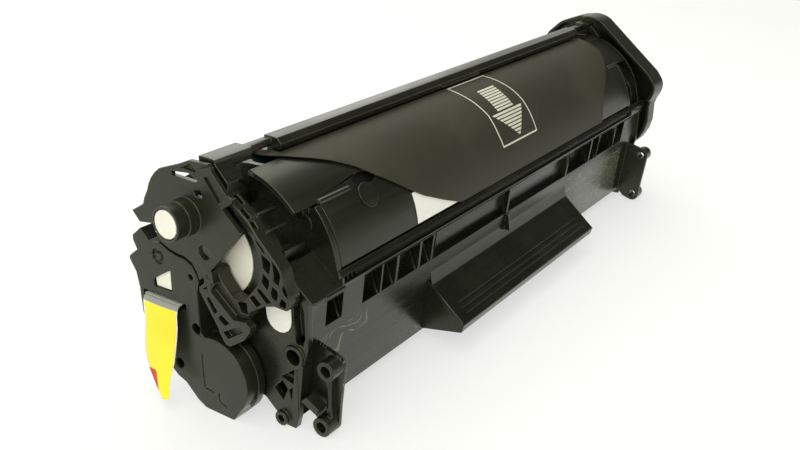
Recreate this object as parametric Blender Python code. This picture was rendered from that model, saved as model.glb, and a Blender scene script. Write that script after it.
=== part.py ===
"""Toner cartridge for an A4 laser printer, built as the separate pieces it comes apart into.

X runs along the drum, with the left end at -X. The front, with the handle, faces -Y. Z is up,
with Z = 0 where the cartridge rests on a table. All sizes are in metres and angles in degrees.
An outline is a list of (y, z) points, seen along X. Y counts from near the drum's axis while the
pieces are built, and at the end everything moves so that the origin is under the middle.
"""

import math

import bmesh
import bpy
from mathutils import Matrix, Vector

# Clearances
GAP = 0.0003
RUNNING_GAP = 0.00035

# Driving sizes along X
DRUM_LENGTH = 0.246
PARTITION_WALL = 0.0025
WELL_WIDTH = 0.0134
END_WALL = 0.0025
END_WALL_LAP = 0.0004
COVER_DEPTH = 0.0087
COVER_WALL = 0.0020
SHELL_WALL = 0.0018

# Axes that everything turns on
DRUM_AXIS = (0.0024, 0.0744)
SHUTTER_AXIS = (-0.0050, 0.0540)
AGITATOR_AXIS = (-0.0045, 0.0150)
DEVELOPER_DIRECTION = -64.0
CHARGE_DIRECTION = -22.0

# Rollers
DRUM_RADIUS = 0.0120
DRUM_WALL = 0.0010
DEVELOPER_RADIUS = 0.0080
DEVELOPER_WALL = 0.0009
DEVELOPER_SETBACK = 0.0100
DEVELOPER_SHAFT_RADIUS = 0.0030
MAGNET_RADIUS = 0.0066
CHARGE_RADIUS = 0.0045
CHARGE_CORE_RADIUS = 0.0025
CHARGE_SETBACK = 0.0090
CHARGE_COVER = 0.00154
DRUM_HUB_RADIUS = 0.0050
PIN_RADIUS = 0.0015

# Gears
DRUM_TEETH = 38
DEVELOPER_TEETH = 20
IDLER_TEETH = 42
AGITATOR_TEETH = 30
GEAR_WIDTH = 0.0050
GEAR_SETBACK = 0.0008

# Hopper
FRONT_TOP = (-0.0404, 0.0500)
FRONT_FOOT = (-0.0346, 0.0050)
RAIL_TOP = 0.0560
REAR_FACE = 0.0300
TROUGH_RADIUS = 0.0142
PADDLE_REACH = 0.0118
SEAL_HEIGHT = 0.0389
REAR_WALL_DROP = 0.0069
SEAL_FRONT = 0.0098
SEAL_REAR = 0.0276
FILM = 0.0003
LABEL = 0.0002
LABEL_GAP = 0.0002
PANEL_LABEL_ENDS = (-0.0780, -0.0450)
PANEL_LABEL_ANGLES = (156.0, 175.0)
DECK_WALL = 0.0020
HIGH_DECK = 0.0535
HIGH_DECK_REAR = -0.0090
RAIL_POCKET = 0.0050
MIDDLE_POCKET = 0.0030
RAIL_BACK = 0.0016
POCKET_TOP = 0.0488
POCKET_FOOT = 0.0372

# Curved cover, waste bin and shutter
CURVE_RADIUS = 0.0356
CURVE_FOOT_ANGLE = 176.0
CURVE_TOP_ANGLE = 101.0
SHEET_TOP_ANGLE = 98.5
BAR_INNER_RADIUS = 0.0371
BAR_OUTER_RADIUS = 0.0412
BAR_FRONT_ANGLE = 98.5
BAR_REAR_ANGLE = 87.5
BAR_HALF_LENGTH = 0.1180
FLAP_INNER_RADIUS = 0.0342
FLAP_OUTER_RADIUS = 0.0357
FLAP_FRONT_ANGLE = 95.5
FLAP_REAR_ANGLE = 44.0
RIM_HEIGHT = 0.0012
LOW_RIM_RADIUS = 0.0276
EAVE_ANGLE = 137.5
EAVE_END = 0.1350
RIDGE_RADIUS = 0.0011
ARM_GAP = 0.0008
ARM_THICKNESS = 0.0054
ARM_WEB = 0.0016
HUB_RADIUS = 0.0026
LEVER_THICKNESS = 0.0034
FAR_ARM_THICKNESS = 0.0030
FAR_ARM_SETBACK = 0.0040
SHOULDER_END = 0.1310
SHOULDER_RADIUS = 0.0417
FIN = 0.0008
FIN_END = 0.1345

# The ends of the loose sheet along X, at angles down the curve
SHEET_LEFT_EDGE = [
    (98.5, -0.1180),
    (101.5, -0.1178),
    (116.6, -0.1060),
    (127.0, -0.0980),
    (137.6, -0.0920),
    (148.7, -0.0830),
    (160.8, -0.0716),
    (169.0, -0.0600),
    (177.0, -0.0470),
]
SHEET_RIGHT_EDGE = [
    (98.5, 0.1180),
    (120.4, 0.1174),
    (139.3, 0.1069),
    (153.6, 0.0951),
    (165.5, 0.0893),
    (177.0, 0.0860),
]

# The sloping corner plate at the left end of the rail
CORNER_PLATE = [(-0.0300, 0.0614), (-0.0430, 0.0512), (-0.0430, 0.0500), (-0.0392, 0.0496), (-0.0294, 0.0598)]
CORNER_STEP = 0.0006
CORNER_SPLIT = 0.1342
CORNER_CUP = (-0.0268, 0.0655)
CORNER_CUP_RADIUS = 0.0042

# Handle and brackets
HANDLE_LEFT = -0.0650
HANDLE_RIGHT = 0.0550
HANDLE_TIP = (-0.0543, 0.0125)
HANDLE_LIP = 0.0035
HANDLE_WALL = 0.0020
GROOVE_DEPTH = 0.0006
BRACKET_INSET = 0.0067
BRACKET_THICKNESS = 0.0016
BRACKET_HOLE_RADIUS = 0.0020
BRACKET_BOSS_RADIUS = 0.00365
BRACKET_BOSS_LENGTH = 0.0054
BRACKET_ROUND = 0.0039
BRACKET_UPPER = (-0.0462, 0.0267)
BRACKET_LOWER = (-0.0434, 0.00366)

# End covers
BOSS_RADIUS = 0.00655
BOSS_HEIGHT = 0.0094
BOSS_STEP = 0.0004
COVER_POST_RADIUS = 0.0044
BOSS_DISC_RADIUS = 0.0050
LOBE_RADIUS = 0.0150
COVER_REAR = 0.0350
END_CAP_AXIS = (-0.0023, 0.0593)
END_CAP_RADIUS = 0.0153
END_CAP_WALL = 0.0011
RIGHT_HOOD = [(-0.0450, 0.0710), (-0.0488, 0.0658), (-0.0489, 0.0612), (-0.0462, 0.0560)]
HOOD_REACH = 0.0042

# Worked out from the sizes above
DRUM_HALF = DRUM_LENGTH / 2
PARTITION_IN = DRUM_HALF + GAP
PARTITION_OUT = PARTITION_IN + PARTITION_WALL
WALL_IN = PARTITION_OUT + WELL_WIDTH
WALL_OUT = WALL_IN + END_WALL
COVER_OUT = WALL_OUT + COVER_DEPTH
COVER_IN = COVER_OUT - COVER_WALL
GEAR_IN = PARTITION_OUT + GEAR_SETBACK
GEAR_OUT = GEAR_IN + GEAR_WIDTH
BIN_HALF = PARTITION_IN - GAP
DEVELOPER_LENGTH = DRUM_LENGTH - 2 * DEVELOPER_SETBACK
CHARGE_LENGTH = DRUM_LENGTH - 2 * CHARGE_SETBACK


def on_circle(centre, radius, angle):
    """The (y, z) point of a circle at an angle from +Y towards +Z."""
    turn = math.radians(angle)
    return (centre[0] + radius * math.cos(turn), centre[1] + radius * math.sin(turn))


def arc(centre, radius, start, end, steps):
    """Points of an arc, both ends included."""
    return [on_circle(centre, radius, start + (end - start) * i / steps) for i in range(steps + 1)]


def distance(first, second):
    """The distance between two (y, z) points."""
    return math.hypot(second[0] - first[0], second[1] - first[1])


def direction(first, second):
    """The angle of the line from the first (y, z) point to the second."""
    return math.degrees(math.atan2(second[1] - first[1], second[0] - first[0]))


def meeting_point(first, first_reach, second, second_reach):
    """The rear one of the two points at the given distances from two others."""
    apart = distance(first, second)
    along = (first_reach**2 - second_reach**2 + apart**2) / (2 * apart)
    aside = math.sqrt(max(first_reach**2 - along**2, 0.0))
    base = on_circle(first, along, direction(first, second))
    return on_circle(base, aside, direction(first, second) + 90.0)


def between(stations, value):
    """Reads a table of (value, result) pairs, in rising order, between its entries."""
    for (low, first), (high, second) in zip(stations, stations[1:]):
        if value <= high:
            return first + (second - first) * (value - low) / (high - low)
    return stations[-1][1]


def moved(point, dy, dz):
    """A (y, z) point moved by dy and dz."""
    return (point[0] + dy, point[1] + dz)


NIP = DRUM_RADIUS + DEVELOPER_RADIUS + GAP
DEVELOPER_AXIS = on_circle(DRUM_AXIS, NIP, DEVELOPER_DIRECTION)
CHARGE_AXIS = on_circle(DRUM_AXIS, DRUM_RADIUS + CHARGE_RADIUS + GAP, CHARGE_DIRECTION)
REAR_BODY_RADIUS = distance(SHUTTER_AXIS, CHARGE_AXIS) + CHARGE_RADIUS + CHARGE_COVER
TOOTH_MODULE = 2 * NIP / (DRUM_TEETH + DEVELOPER_TEETH)
IDLER_AXIS = meeting_point(
    DEVELOPER_AXIS,
    TOOTH_MODULE * (DEVELOPER_TEETH + IDLER_TEETH) / 2,
    AGITATOR_AXIS,
    TOOTH_MODULE * (IDLER_TEETH + AGITATOR_TEETH) / 2,
)


# Materials


def finish(name, colour, roughness, metallic=0.0):
    """A plain Principled material."""
    material = bpy.data.materials.new(name)
    material.use_nodes = True
    shader = material.node_tree.nodes["Principled BSDF"]
    shader.inputs["Base Color"].default_value = (*colour, 1.0)
    shader.inputs["Roughness"].default_value = roughness
    shader.inputs["Metallic"].default_value = metallic
    material.diffuse_color = (*colour, 1.0)
    return material


def make_finishes():
    """Every material of the cartridge by name."""
    return {
        "housing": finish("housing", (0.045, 0.047, 0.036), 0.45),
        "shutter": finish("shutter", (0.060, 0.062, 0.048), 0.38),
        "cover": finish("cover", (0.050, 0.052, 0.040), 0.50),
        "white": finish("white", (0.85, 0.85, 0.78), 0.45),
        "gear": finish("gear", (0.78, 0.78, 0.72), 0.50),
        "drum": finish("drum", (0.10, 0.32, 0.30), 0.20, 0.3),
        "steel": finish("steel", (0.55, 0.55, 0.53), 0.30, 1.0),
        "sleeve": finish("sleeve", (0.22, 0.22, 0.22), 0.55, 0.8),
        "rubber": finish("rubber", (0.03, 0.03, 0.03), 0.80),
        "blade": finish("blade", (0.55, 0.38, 0.16), 0.50),
        "film": finish("film", (0.65, 0.66, 0.62), 0.30),
        "tab": finish("tab", (0.95, 0.90, 0.05), 0.55),
        "sheet": finish("sheet", (0.055, 0.053, 0.043), 0.75),
        "label": finish("label", (0.88, 0.88, 0.82), 0.55),
    }


# Mesh tools


def clear_scene():
    """Removes the objects that Blender starts with."""
    for obj in list(bpy.data.objects):
        bpy.data.objects.remove(obj, do_unlink=True)


def add_mesh(name, mesh_builder, material=None, origin=(0.0, 0.0, 0.0)):
    """A new object from a bmesh, with its origin at a given place."""
    bmesh.ops.recalc_face_normals(mesh_builder, faces=mesh_builder.faces)
    bmesh.ops.translate(mesh_builder, verts=mesh_builder.verts, vec=-Vector(origin))
    mesh = bpy.data.meshes.new(name)
    mesh_builder.to_mesh(mesh)
    mesh_builder.free()
    obj = bpy.data.objects.new(name, mesh)
    obj.location = origin
    bpy.context.scene.collection.objects.link(obj)
    if material:
        mesh.materials.append(material)
    return obj


def add_prism(builder, outline, x0, x1):
    """Adds an outline, extruded from x0 to x1, to a bmesh."""
    face = builder.faces.new([builder.verts.new((x0, y, z)) for y, z in outline])
    grown = bmesh.ops.extrude_face_region(builder, geom=[face])
    far = [item for item in grown["geom"] if isinstance(item, bmesh.types.BMVert)]
    bmesh.ops.translate(builder, verts=far, vec=(x1 - x0, 0.0, 0.0))


def prisms(name, parts, material=None, origin=(0.0, 0.0, 0.0)):
    """One object of several extruded outlines, each given as (outline, x0, x1)."""
    builder = bmesh.new()
    for outline, x0, x1 in parts:
        add_prism(builder, outline, x0, x1)
    return add_mesh(name, builder, material, origin)


def circle(centre, radius, steps=20):
    """A round outline."""
    return arc(centre, radius, 0.0, 360.0 - 360.0 / steps, steps - 1)


def rectangle(y0, y1, z0, z1):
    """A rectangular outline."""
    return [(y0, z0), (y1, z0), (y1, z1), (y0, z1)]


def strip(points, thickness):
    """The outline of a bent sheet whose one side follows the points, its thickness to their left."""
    offset = []
    for i, point in enumerate(points):
        before = direction(points[i - 1], point) if i else None
        after = direction(point, points[i + 1]) if i + 1 < len(points) else None
        if before is None:
            before = after
        if after is None:
            after = before
        bend = (after - before + 180.0) % 360.0 - 180.0
        reach = thickness / math.cos(math.radians(bend / 2))
        offset.append(on_circle(point, reach, before + bend / 2 + 90.0))
    return points + offset[::-1]


def as_tool(obj):
    """Hides an object that only cuts or adds to another."""
    obj.hide_render = True
    obj.display_type = "WIRE"
    return obj


def combine(target, tool, operation):
    """A Boolean modifier between two objects."""
    as_tool(tool)
    modifier = target.modifiers.new(operation.lower() + "_" + tool.name, "BOOLEAN")
    modifier.operation = operation
    modifier.solver = "EXACT"
    modifier.object = tool
    return target


def cut(target, parts):
    """Cuts extruded outlines out of an object."""
    return combine(target, prisms(target.name + "_cut", parts), "DIFFERENCE")


def weld(target, parts):
    """Joins extruded outlines to an object, each as its own Boolean so that they may overlap."""
    for outline, x0, x1 in parts:
        combine(target, prisms(target.name + "_add", [(outline, x0, x1)]), "UNION")
    return target


def smooth(obj, angle=35.0):
    """Shades an object's round faces smooth."""
    obj.data.shade_smooth()
    obj.data.set_sharp_from_angle(angle=math.radians(angle))
    return obj


def turned(name, centre, profile, material, steps=28):
    """A solid turned about an axis along X. The profile is a closed loop of (x, radius) points."""
    builder = bmesh.new()
    rings = []
    for step in range(steps):
        turn = 2 * math.pi * step / steps
        rings.append(
            [
                builder.verts.new((x, centre[0] + r * math.cos(turn), centre[1] + r * math.sin(turn)))
                for x, r in profile
            ]
        )
    count = len(profile)
    for step in range(steps):
        ring = rings[step]
        following = rings[(step + 1) % steps]
        for i in range(count):
            j = (i + 1) % count
            corners = [ring[i], ring[j], following[j], following[i]]
            builder.faces.new(corners)
    bmesh.ops.remove_doubles(builder, verts=builder.verts, dist=1e-6)
    return smooth(add_mesh(name, builder, material, (profile[0][0], *centre)))


def rod(name, centre, radius, x0, x1, material, steps=24):
    """A plain round bar along X."""
    return smooth(prisms(name, [(circle(centre, radius, steps), x0, x1)], material, (x0, *centre)))


def tube(name, centre, outer, inner, x0, x1, material, steps=32):
    """A round tube along X."""
    profile = [(x0, inner), (x0, outer), (x1, outer), (x1, inner)]
    return turned(name, centre, profile, material, steps)


def coil(name, base, axis, length, radius, wire, turns, material, sides=8):
    """A coil spring from a base point along an axis, as a round wire."""
    data = bpy.data.curves.new(name, "CURVE")
    data.dimensions = "3D"
    data.bevel_depth = wire
    data.bevel_resolution = 0
    data.use_fill_caps = True
    spline = data.splines.new("POLY")
    count = int(turns * sides)
    spline.points.add(count)
    frame = Vector(axis).to_track_quat("Z", "Y").to_matrix().to_4x4()
    place = Matrix.Translation(Vector(base)) @ frame
    for i in range(count + 1):
        turn = 2 * math.pi * i / sides
        rise = wire + (length - 2 * wire) * i / count
        point = place @ Vector((radius * math.cos(turn), radius * math.sin(turn), rise))
        spline.points[i].co = (*point, 1.0)
    data.materials.append(material)
    obj = bpy.data.objects.new(name, data)
    bpy.context.scene.collection.objects.link(obj)
    return obj


# Gears


def tooth_phase(centre, teeth, other_centre, other_teeth, other_phase):
    """The angle of one tooth of a gear that meshes with another gear of known phase."""
    facing = direction(other_centre, centre)
    share = other_teeth * (facing - other_phase) / 360.0
    return facing + 180.0 - (0.5 - share) * 360.0 / teeth


def gear_outline(centre, teeth, phase):
    """A gear's outline, with four points to each tooth."""
    pitch_radius = TOOTH_MODULE * teeth / 2
    tip = pitch_radius + TOOTH_MODULE * 0.70
    root = pitch_radius - TOOTH_MODULE * 1.15
    pitch = 360.0 / teeth
    points = []
    for tooth in range(teeth):
        middle = phase + tooth * pitch
        for share, radius in ((-0.30, root), (-0.11, tip), (0.11, tip), (0.30, root)):
            points.append(on_circle(centre, radius, middle + share * pitch))
    return points


# The hopper, the lower half of the cartridge


def front_face(height):
    """Y of the slanting front wall at a height."""
    share = (height - FRONT_FOOT[1]) / (FRONT_TOP[1] - FRONT_FOOT[1])
    return FRONT_FOOT[0] + share * (FRONT_TOP[0] - FRONT_FOOT[0])


def hopper_outside():
    """The hopper's outer section, open at the top."""
    trough = arc(AGITATOR_AXIS, TROUGH_RADIUS, 205.0, 320.0, 12)
    rear_top = SEAL_HEIGHT - DECK_WALL - 2 * GAP
    deck_top = HIGH_DECK + DECK_WALL
    return [
        (front_face(HIGH_DECK) + SHELL_WALL + GAP, deck_top - GAP),
        (front_face(HIGH_DECK) + SHELL_WALL - 0.0006, deck_top - GAP),
        (FRONT_TOP[0] - 0.0002, RAIL_TOP),
        (FRONT_TOP[0] - 0.0008, RAIL_TOP),
        (FRONT_TOP[0] - 0.0020, RAIL_TOP - 0.0016),
        (FRONT_TOP[0] - 0.0020, FRONT_TOP[1] + 0.0010),
        (front_face(0.0490), 0.0490),
        (front_face(0.0365), 0.0365),
        FRONT_FOOT,
        moved(FRONT_FOOT, 0.0022, -0.0020),
        *trough,
        (REAR_FACE - 0.0120, 0.0110),
        (REAR_FACE - 0.0030, SEAL_HEIGHT - 2 * REAR_WALL_DROP),
        (REAR_FACE, SEAL_HEIGHT - REAR_WALL_DROP),
        (REAR_FACE, rear_top),
        (REAR_FACE - SHELL_WALL - 0.0020, rear_top),
    ]


def hopper_inside(backed):
    """The hopper's inner section, with the rail's pockets backed by a thicker wall or not."""
    wall = SHELL_WALL
    rise = HIGH_DECK + 0.0060
    trough = arc(AGITATOR_AXIS, TROUGH_RADIUS - wall, 205.0, 318.0, 12)
    back = RAIL_POCKET + RAIL_BACK
    backing = [
        (front_face(HIGH_DECK) + back, HIGH_DECK),
        (front_face(POCKET_FOOT) + back, POCKET_FOOT - 0.0006),
        (front_face(POCKET_FOOT) + wall, POCKET_FOOT - 0.0006 - RAIL_BACK),
    ]
    return [
        (front_face(HIGH_DECK) + wall, rise),
        (front_face(HIGH_DECK) + wall, HIGH_DECK),
        *(backing if backed else []),
        moved(FRONT_FOOT, wall, 0.0010),
        moved(FRONT_FOOT, wall + 0.0012, 0.0),
        *trough,
        (REAR_FACE - 0.0120 - 0.4 * wall, 0.0110 + wall),
        (REAR_FACE - 0.0030 - wall, SEAL_HEIGHT - 2 * REAR_WALL_DROP + 0.3 * wall),
        (REAR_FACE - wall, SEAL_HEIGHT - REAR_WALL_DROP + 0.3 * wall),
        (REAR_FACE - wall, rise),
    ]


def body_section():
    """The section of a partition: the hopper below and the curved body above."""
    trough = arc(AGITATOR_AXIS, TROUGH_RADIUS, 205.0, 320.0, 12)
    rear = arc(SHUTTER_AXIS, REAR_BODY_RADIUS, 8.0, 62.0, 8)
    crown = arc(SHUTTER_AXIS, REAR_BODY_RADIUS, 70.0, 92.0, 4)
    under_eave = arc(SHUTTER_AXIS, CURVE_RADIUS - SHELL_WALL - GAP, 98.0, EAVE_ANGLE + 1.0, 8)
    curve = arc(SHUTTER_AXIS, CURVE_RADIUS, EAVE_ANGLE + 1.5, CURVE_FOOT_ANGLE, 8)
    return [
        (front_face(0.0490), 0.0490),
        FRONT_FOOT,
        moved(FRONT_FOOT, 0.0022, -0.0020),
        *trough,
        (REAR_FACE - 0.0120, 0.0110),
        (REAR_FACE - 0.0030, SEAL_HEIGHT - 2 * REAR_WALL_DROP),
        (REAR_FACE, SEAL_HEIGHT - REAR_WALL_DROP),
        (REAR_FACE, 0.0420),
        *rear,
        *crown,
        *under_eave,
        *curve,
    ]


def end_wall_section(top):
    """The section of an end wall, with its round foot at the front and a given top edge."""
    return [
        (FRONT_TOP[0] - 0.0006, 0.0500),
        (FRONT_TOP[0], 0.0335),
        (FRONT_FOOT[0] - 0.0036, 0.0272),
        (FRONT_FOOT[0] - 0.0001, 0.0250),
        FRONT_FOOT,
        moved(FRONT_FOOT, 0.0014, -FRONT_FOOT[1]),
        moved(FRONT_FOOT, 0.0066, -FRONT_FOOT[1]),
        (-0.0245, 0.0040),
        (-0.0200, 0.0080),
        *arc(AGITATOR_AXIS, LOBE_RADIUS - 0.0004, 205.0, 320.0, 12),
        (REAR_FACE - 0.0120, 0.0105),
        (REAR_FACE - 0.0040, 0.0240),
        (REAR_FACE, 0.0340),
        (REAR_FACE, 0.0500),
        *top,
    ]


def end_wall_tops():
    """The top edges of the left and right end walls. The left one is low where the arm's fins swing."""
    rim = REAR_BODY_RADIUS + RIM_HEIGHT
    left = arc(SHUTTER_AXIS, rim, 40.0, 72.0, 5) + arc(SHUTTER_AXIS, LOW_RIM_RADIUS, 75.0, 152.0, 10)
    return left + CORNER_PLATE[:2], arc(SHUTTER_AXIS, rim, 40.0, 172.0, 16)


def rail_pockets():
    """The pockets of the front rail, each as (left, right, depth)."""
    left_row = [(-0.1306, -0.1218), (-0.1100, -0.0996), (-0.0984, -0.0902), (-0.0886, -0.0752), (-0.0738, -0.0662)]
    middle_row = [(-0.0640, -0.0060), (-0.0044, 0.0525)]
    right_row = [(0.0545, 0.0790), (0.0806, 0.0884), (0.0900, 0.1090), (0.1106, 0.1206)]
    pockets = [(left, right, RAIL_POCKET) for left, right in left_row + right_row]
    return pockets + [(left, right, MIDDLE_POCKET) for left, right in middle_row]


def pocket_outline(depth):
    """The section of a pocket in the front wall."""
    reach = FRONT_TOP[0] - 0.0096
    return [
        (reach, POCKET_TOP),
        (front_face(POCKET_TOP) + depth, POCKET_TOP),
        (front_face(POCKET_FOOT) + depth, POCKET_FOOT),
        (reach, POCKET_FOOT),
    ]


def handle_section(inset):
    """The handle's section: a wedge whose top sweeps out of the front wall."""
    root = (front_face(0.0362) + 0.0008, 0.0362)
    sweep = [
        root,
        (front_face(0.0300) - 0.0002, 0.0300),
        (front_face(0.0260) - 0.0016, 0.0258),
        (HANDLE_TIP[0] + 0.0010, HANDLE_TIP[1] + 0.0012),
        HANDLE_TIP,
    ]
    foot = (HANDLE_TIP[0] + 0.0012, HANDLE_TIP[1] - HANDLE_LIP)
    base = (front_face(0.0052) + 0.0008, 0.0052)
    if inset:
        return [
            (root[0], root[1] - 0.0060),
            (sweep[2][0], sweep[2][1] - 1.45 * inset),
            (HANDLE_TIP[0] + 1.6 * inset, HANDLE_TIP[1] - 0.1 * inset),
            (foot[0] + inset, foot[1] - 0.0060),
            (base[0], base[1] - 0.0060),
        ]
    return sweep + [foot, base]


def bracket_section():
    """A bracket plate's outline around its two holes."""
    return [
        (-0.0340, 0.0332),
        (-0.0357, 0.0336),
        *arc(BRACKET_UPPER, BRACKET_ROUND, 100.0, 200.0, 4),
        (-0.0478, 0.0110),
        *arc(BRACKET_LOWER, BRACKET_BOSS_RADIUS, 190.0, 290.0, 5),
        (-0.0380, 0.0016),
        (-0.0340, 0.0060),
    ]


def make_brackets(housing):
    """Adds the two hole brackets at the front corners, with their bosses facing out at the left."""
    bracket = WALL_OUT - BRACKET_INSET
    tip = bracket + BRACKET_BOSS_LENGTH
    for side in (-1.0, 1.0):
        plate = (side * bracket, side * (bracket - BRACKET_THICKNESS))
        parts = [(bracket_section(), *plate)]
        for hole in (BRACKET_UPPER, BRACKET_LOWER):
            parts.append((circle(hole, BRACKET_BOSS_RADIUS, 20), side * (bracket - 0.0010), side * tip))
        rib = rectangle(-0.0456, -0.0440, BRACKET_LOWER[1], BRACKET_UPPER[1])
        parts.append((rib, side * (bracket - 0.0010), side * (bracket + 0.0026)))
        weld(housing, parts)
        ends = (side * (bracket - 0.0050), side * (tip + 0.0010))
        holes = [(circle(hole, BRACKET_HOLE_RADIUS, 16), *ends) for hole in (BRACKET_UPPER, BRACKET_LOWER)]
        cut(housing, holes)


def make_handle(housing):
    """Adds the hollow wedge handle with its three finger grooves."""
    weld(housing, [(handle_section(0.0), HANDLE_LEFT, HANDLE_RIGHT)])
    inset = HANDLE_WALL
    middle = (HANDLE_LEFT + HANDLE_RIGHT) / 2
    cavities = []
    for left, right in ((HANDLE_LEFT - 0.0010, middle - inset / 2), (middle + inset / 2, HANDLE_RIGHT + 0.0010)):
        cavities.append((handle_section(inset), left, right))
    cut(housing, cavities)
    slope = direction(HANDLE_TIP, (front_face(0.0260) - 0.0016, 0.0258))
    grooves = []
    for reach in (0.0032, 0.0058, 0.0084):
        centre = on_circle(HANDLE_TIP, reach, slope)
        centre = on_circle(centre, 0.0003, slope + 90.0)
        grooves.append((circle(centre, GROOVE_DEPTH, 6), HANDLE_LEFT + 0.0060, HANDLE_RIGHT - 0.0060))
    cut(housing, grooves)
    gusset = [(front_face(0.0362), 0.0372), (front_face(0.0362) - 0.0012, 0.0362), (front_face(0.0300) - 0.0030, 0.0290), (front_face(0.0300), 0.0290)]
    weld(housing, [(gusset, middle - 0.0008, middle + 0.0008)])


def make_left_end_openings(housing):
    """Cuts the openings of the left end wall and adds the ring boss and the foot boss."""
    ring = (FRONT_FOOT[0] + 0.0002, 0.0294)
    out = -WALL_OUT
    weld(housing, [(circle(ring, 0.0042, 20), out - 0.0012, -WALL_IN), (circle((-0.0278, 0.0029), 0.0028, 16), out - 0.0016, -WALL_IN)])
    ends = (out - 0.0050, -WALL_IN + 0.0010)
    crescent = [(-0.0352, 0.0345), (-0.0345, 0.0430), (-0.0353, 0.0510), (-0.0378, 0.0518), (-0.0392, 0.0470), (-0.0392, 0.0380), (-0.0382, 0.0345)]
    window = [(-0.0336, 0.0238), (-0.0330, 0.0178), (-0.0275, 0.0192)]
    spring_window = [(-0.0281, 0.0178), (-0.0240, 0.0134), (-0.0278, 0.0098), (-0.0302, 0.0150)]
    sliver = [(-0.0325, 0.0163), (-0.0308, 0.0148), (-0.0319, 0.0106)]
    cut(housing, [(crescent, *ends), (window, *ends), (sliver, *ends), (circle(ring, 0.0029, 16), *ends)])
    cut(housing, [(spring_window, *ends)])
    cut(housing, [(circle((-0.0278, 0.0029), 0.0014, 12), out - 0.0050, out + 0.0006)])


def far_well_room():
    """The room behind the plain front wall of the far well, where no pocket needs a backing."""
    low = POCKET_FOOT - 0.0006 - RAIL_BACK
    top = HIGH_DECK + 0.0030
    return [
        (front_face(HIGH_DECK) + SHELL_WALL, top),
        (front_face(HIGH_DECK) + SHELL_WALL, HIGH_DECK),
        (front_face(low) + SHELL_WALL, low),
        (0.0, low),
        (0.0, top),
    ]


def make_main_housing(finishes):
    """The lower casting: hopper trough, front wall with handle, partitions and end walls."""
    shell_end = WALL_OUT - END_WALL_LAP
    housing = prisms("main_housing", [(hopper_outside(), -shell_end, shell_end)], finishes["housing"])
    inside_end = WALL_IN + END_WALL_LAP
    cut(housing, [(hopper_inside(True), -inside_end, inside_end)])
    cut(housing, [(far_well_room(), PARTITION_OUT + END_WALL_LAP, inside_end - END_WALL_LAP / 2)])
    left_top, right_top = end_wall_tops()
    first, last = CORNER_PLATE[0], CORNER_PLATE[1]
    corner = [moved(first, 0.0, 0.0100), moved(first, 0.0, -END_WALL_LAP), moved(last, 0.0, -END_WALL_LAP)]
    corner += [moved(last, -0.0050, -END_WALL_LAP), moved(last, -0.0050, 0.0200)]
    cut(housing, [(corner, -WALL_OUT - 0.0010, -PARTITION_OUT + END_WALL_LAP)])
    walls = [(end_wall_section(left_top), -WALL_IN, -WALL_OUT), (end_wall_section(right_top), WALL_IN, WALL_OUT)]
    for side in (-1.0, 1.0):
        walls.append((body_section(), side * PARTITION_IN, side * PARTITION_OUT))
    weld(housing, walls)
    cut(housing, [(pocket_outline(depth), left, right) for left, right, depth in rail_pockets()])
    band = rectangle(-0.0500, FRONT_TOP[0] - 0.0004, 0.0516, 0.0540)
    cut(housing, [(band, -0.1240, 0.1240)])
    make_corner(housing)
    make_brackets(housing)
    make_handle(housing)
    make_left_end_openings(housing)
    shelf = rectangle(-0.0318, -0.0246, 0.0190, 0.0204)
    pad = circle((-0.0278, 0.0140), 0.0011, 12)
    weld(housing, [(shelf, -WALL_IN - 0.0010, -WALL_IN + 0.0062), (pad, -PARTITION_OUT - 0.0040, -PARTITION_IN)])
    make_bearing_holes(housing)
    upper_peg = on_circle(SHUTTER_AXIS, CURVE_RADIUS - 0.0048, 136.0)
    lower_peg = on_circle(SHUTTER_AXIS, CURVE_RADIUS - 0.0081, 143.4)
    for side in (-1.0, 1.0):
        pegs = [(circle(upper_peg, 0.0022, 16), side * PARTITION_IN, side * (PARTITION_OUT + 0.0030))]
        pegs.append((circle(lower_peg, 0.0033, 20), side * PARTITION_IN, side * (PARTITION_OUT + 0.0004)))
        weld(housing, pegs)
    return smooth(housing)


def make_corner(housing):
    """Adds the sloping plates and the half-round cup at the left end of the rail."""
    low_plate = [moved(point, 0.0, -CORNER_STEP) for point in CORNER_PLATE]
    cup = arc(CORNER_CUP, CORNER_CUP_RADIUS, 168.0, 330.0, 8)
    cup += arc(CORNER_CUP, CORNER_CUP_RADIUS - SHELL_WALL * 0.7, 330.0, 168.0, 8)
    parts = [(CORNER_PLATE, -WALL_IN - 0.0010, -CORNER_SPLIT)]
    parts.append((low_plate, -CORNER_SPLIT - 0.0005, -PARTITION_IN - 0.0010))
    parts.append((cup, -WALL_IN - 0.0010, -CORNER_SPLIT + 0.0045))
    weld(housing, parts)


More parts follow.
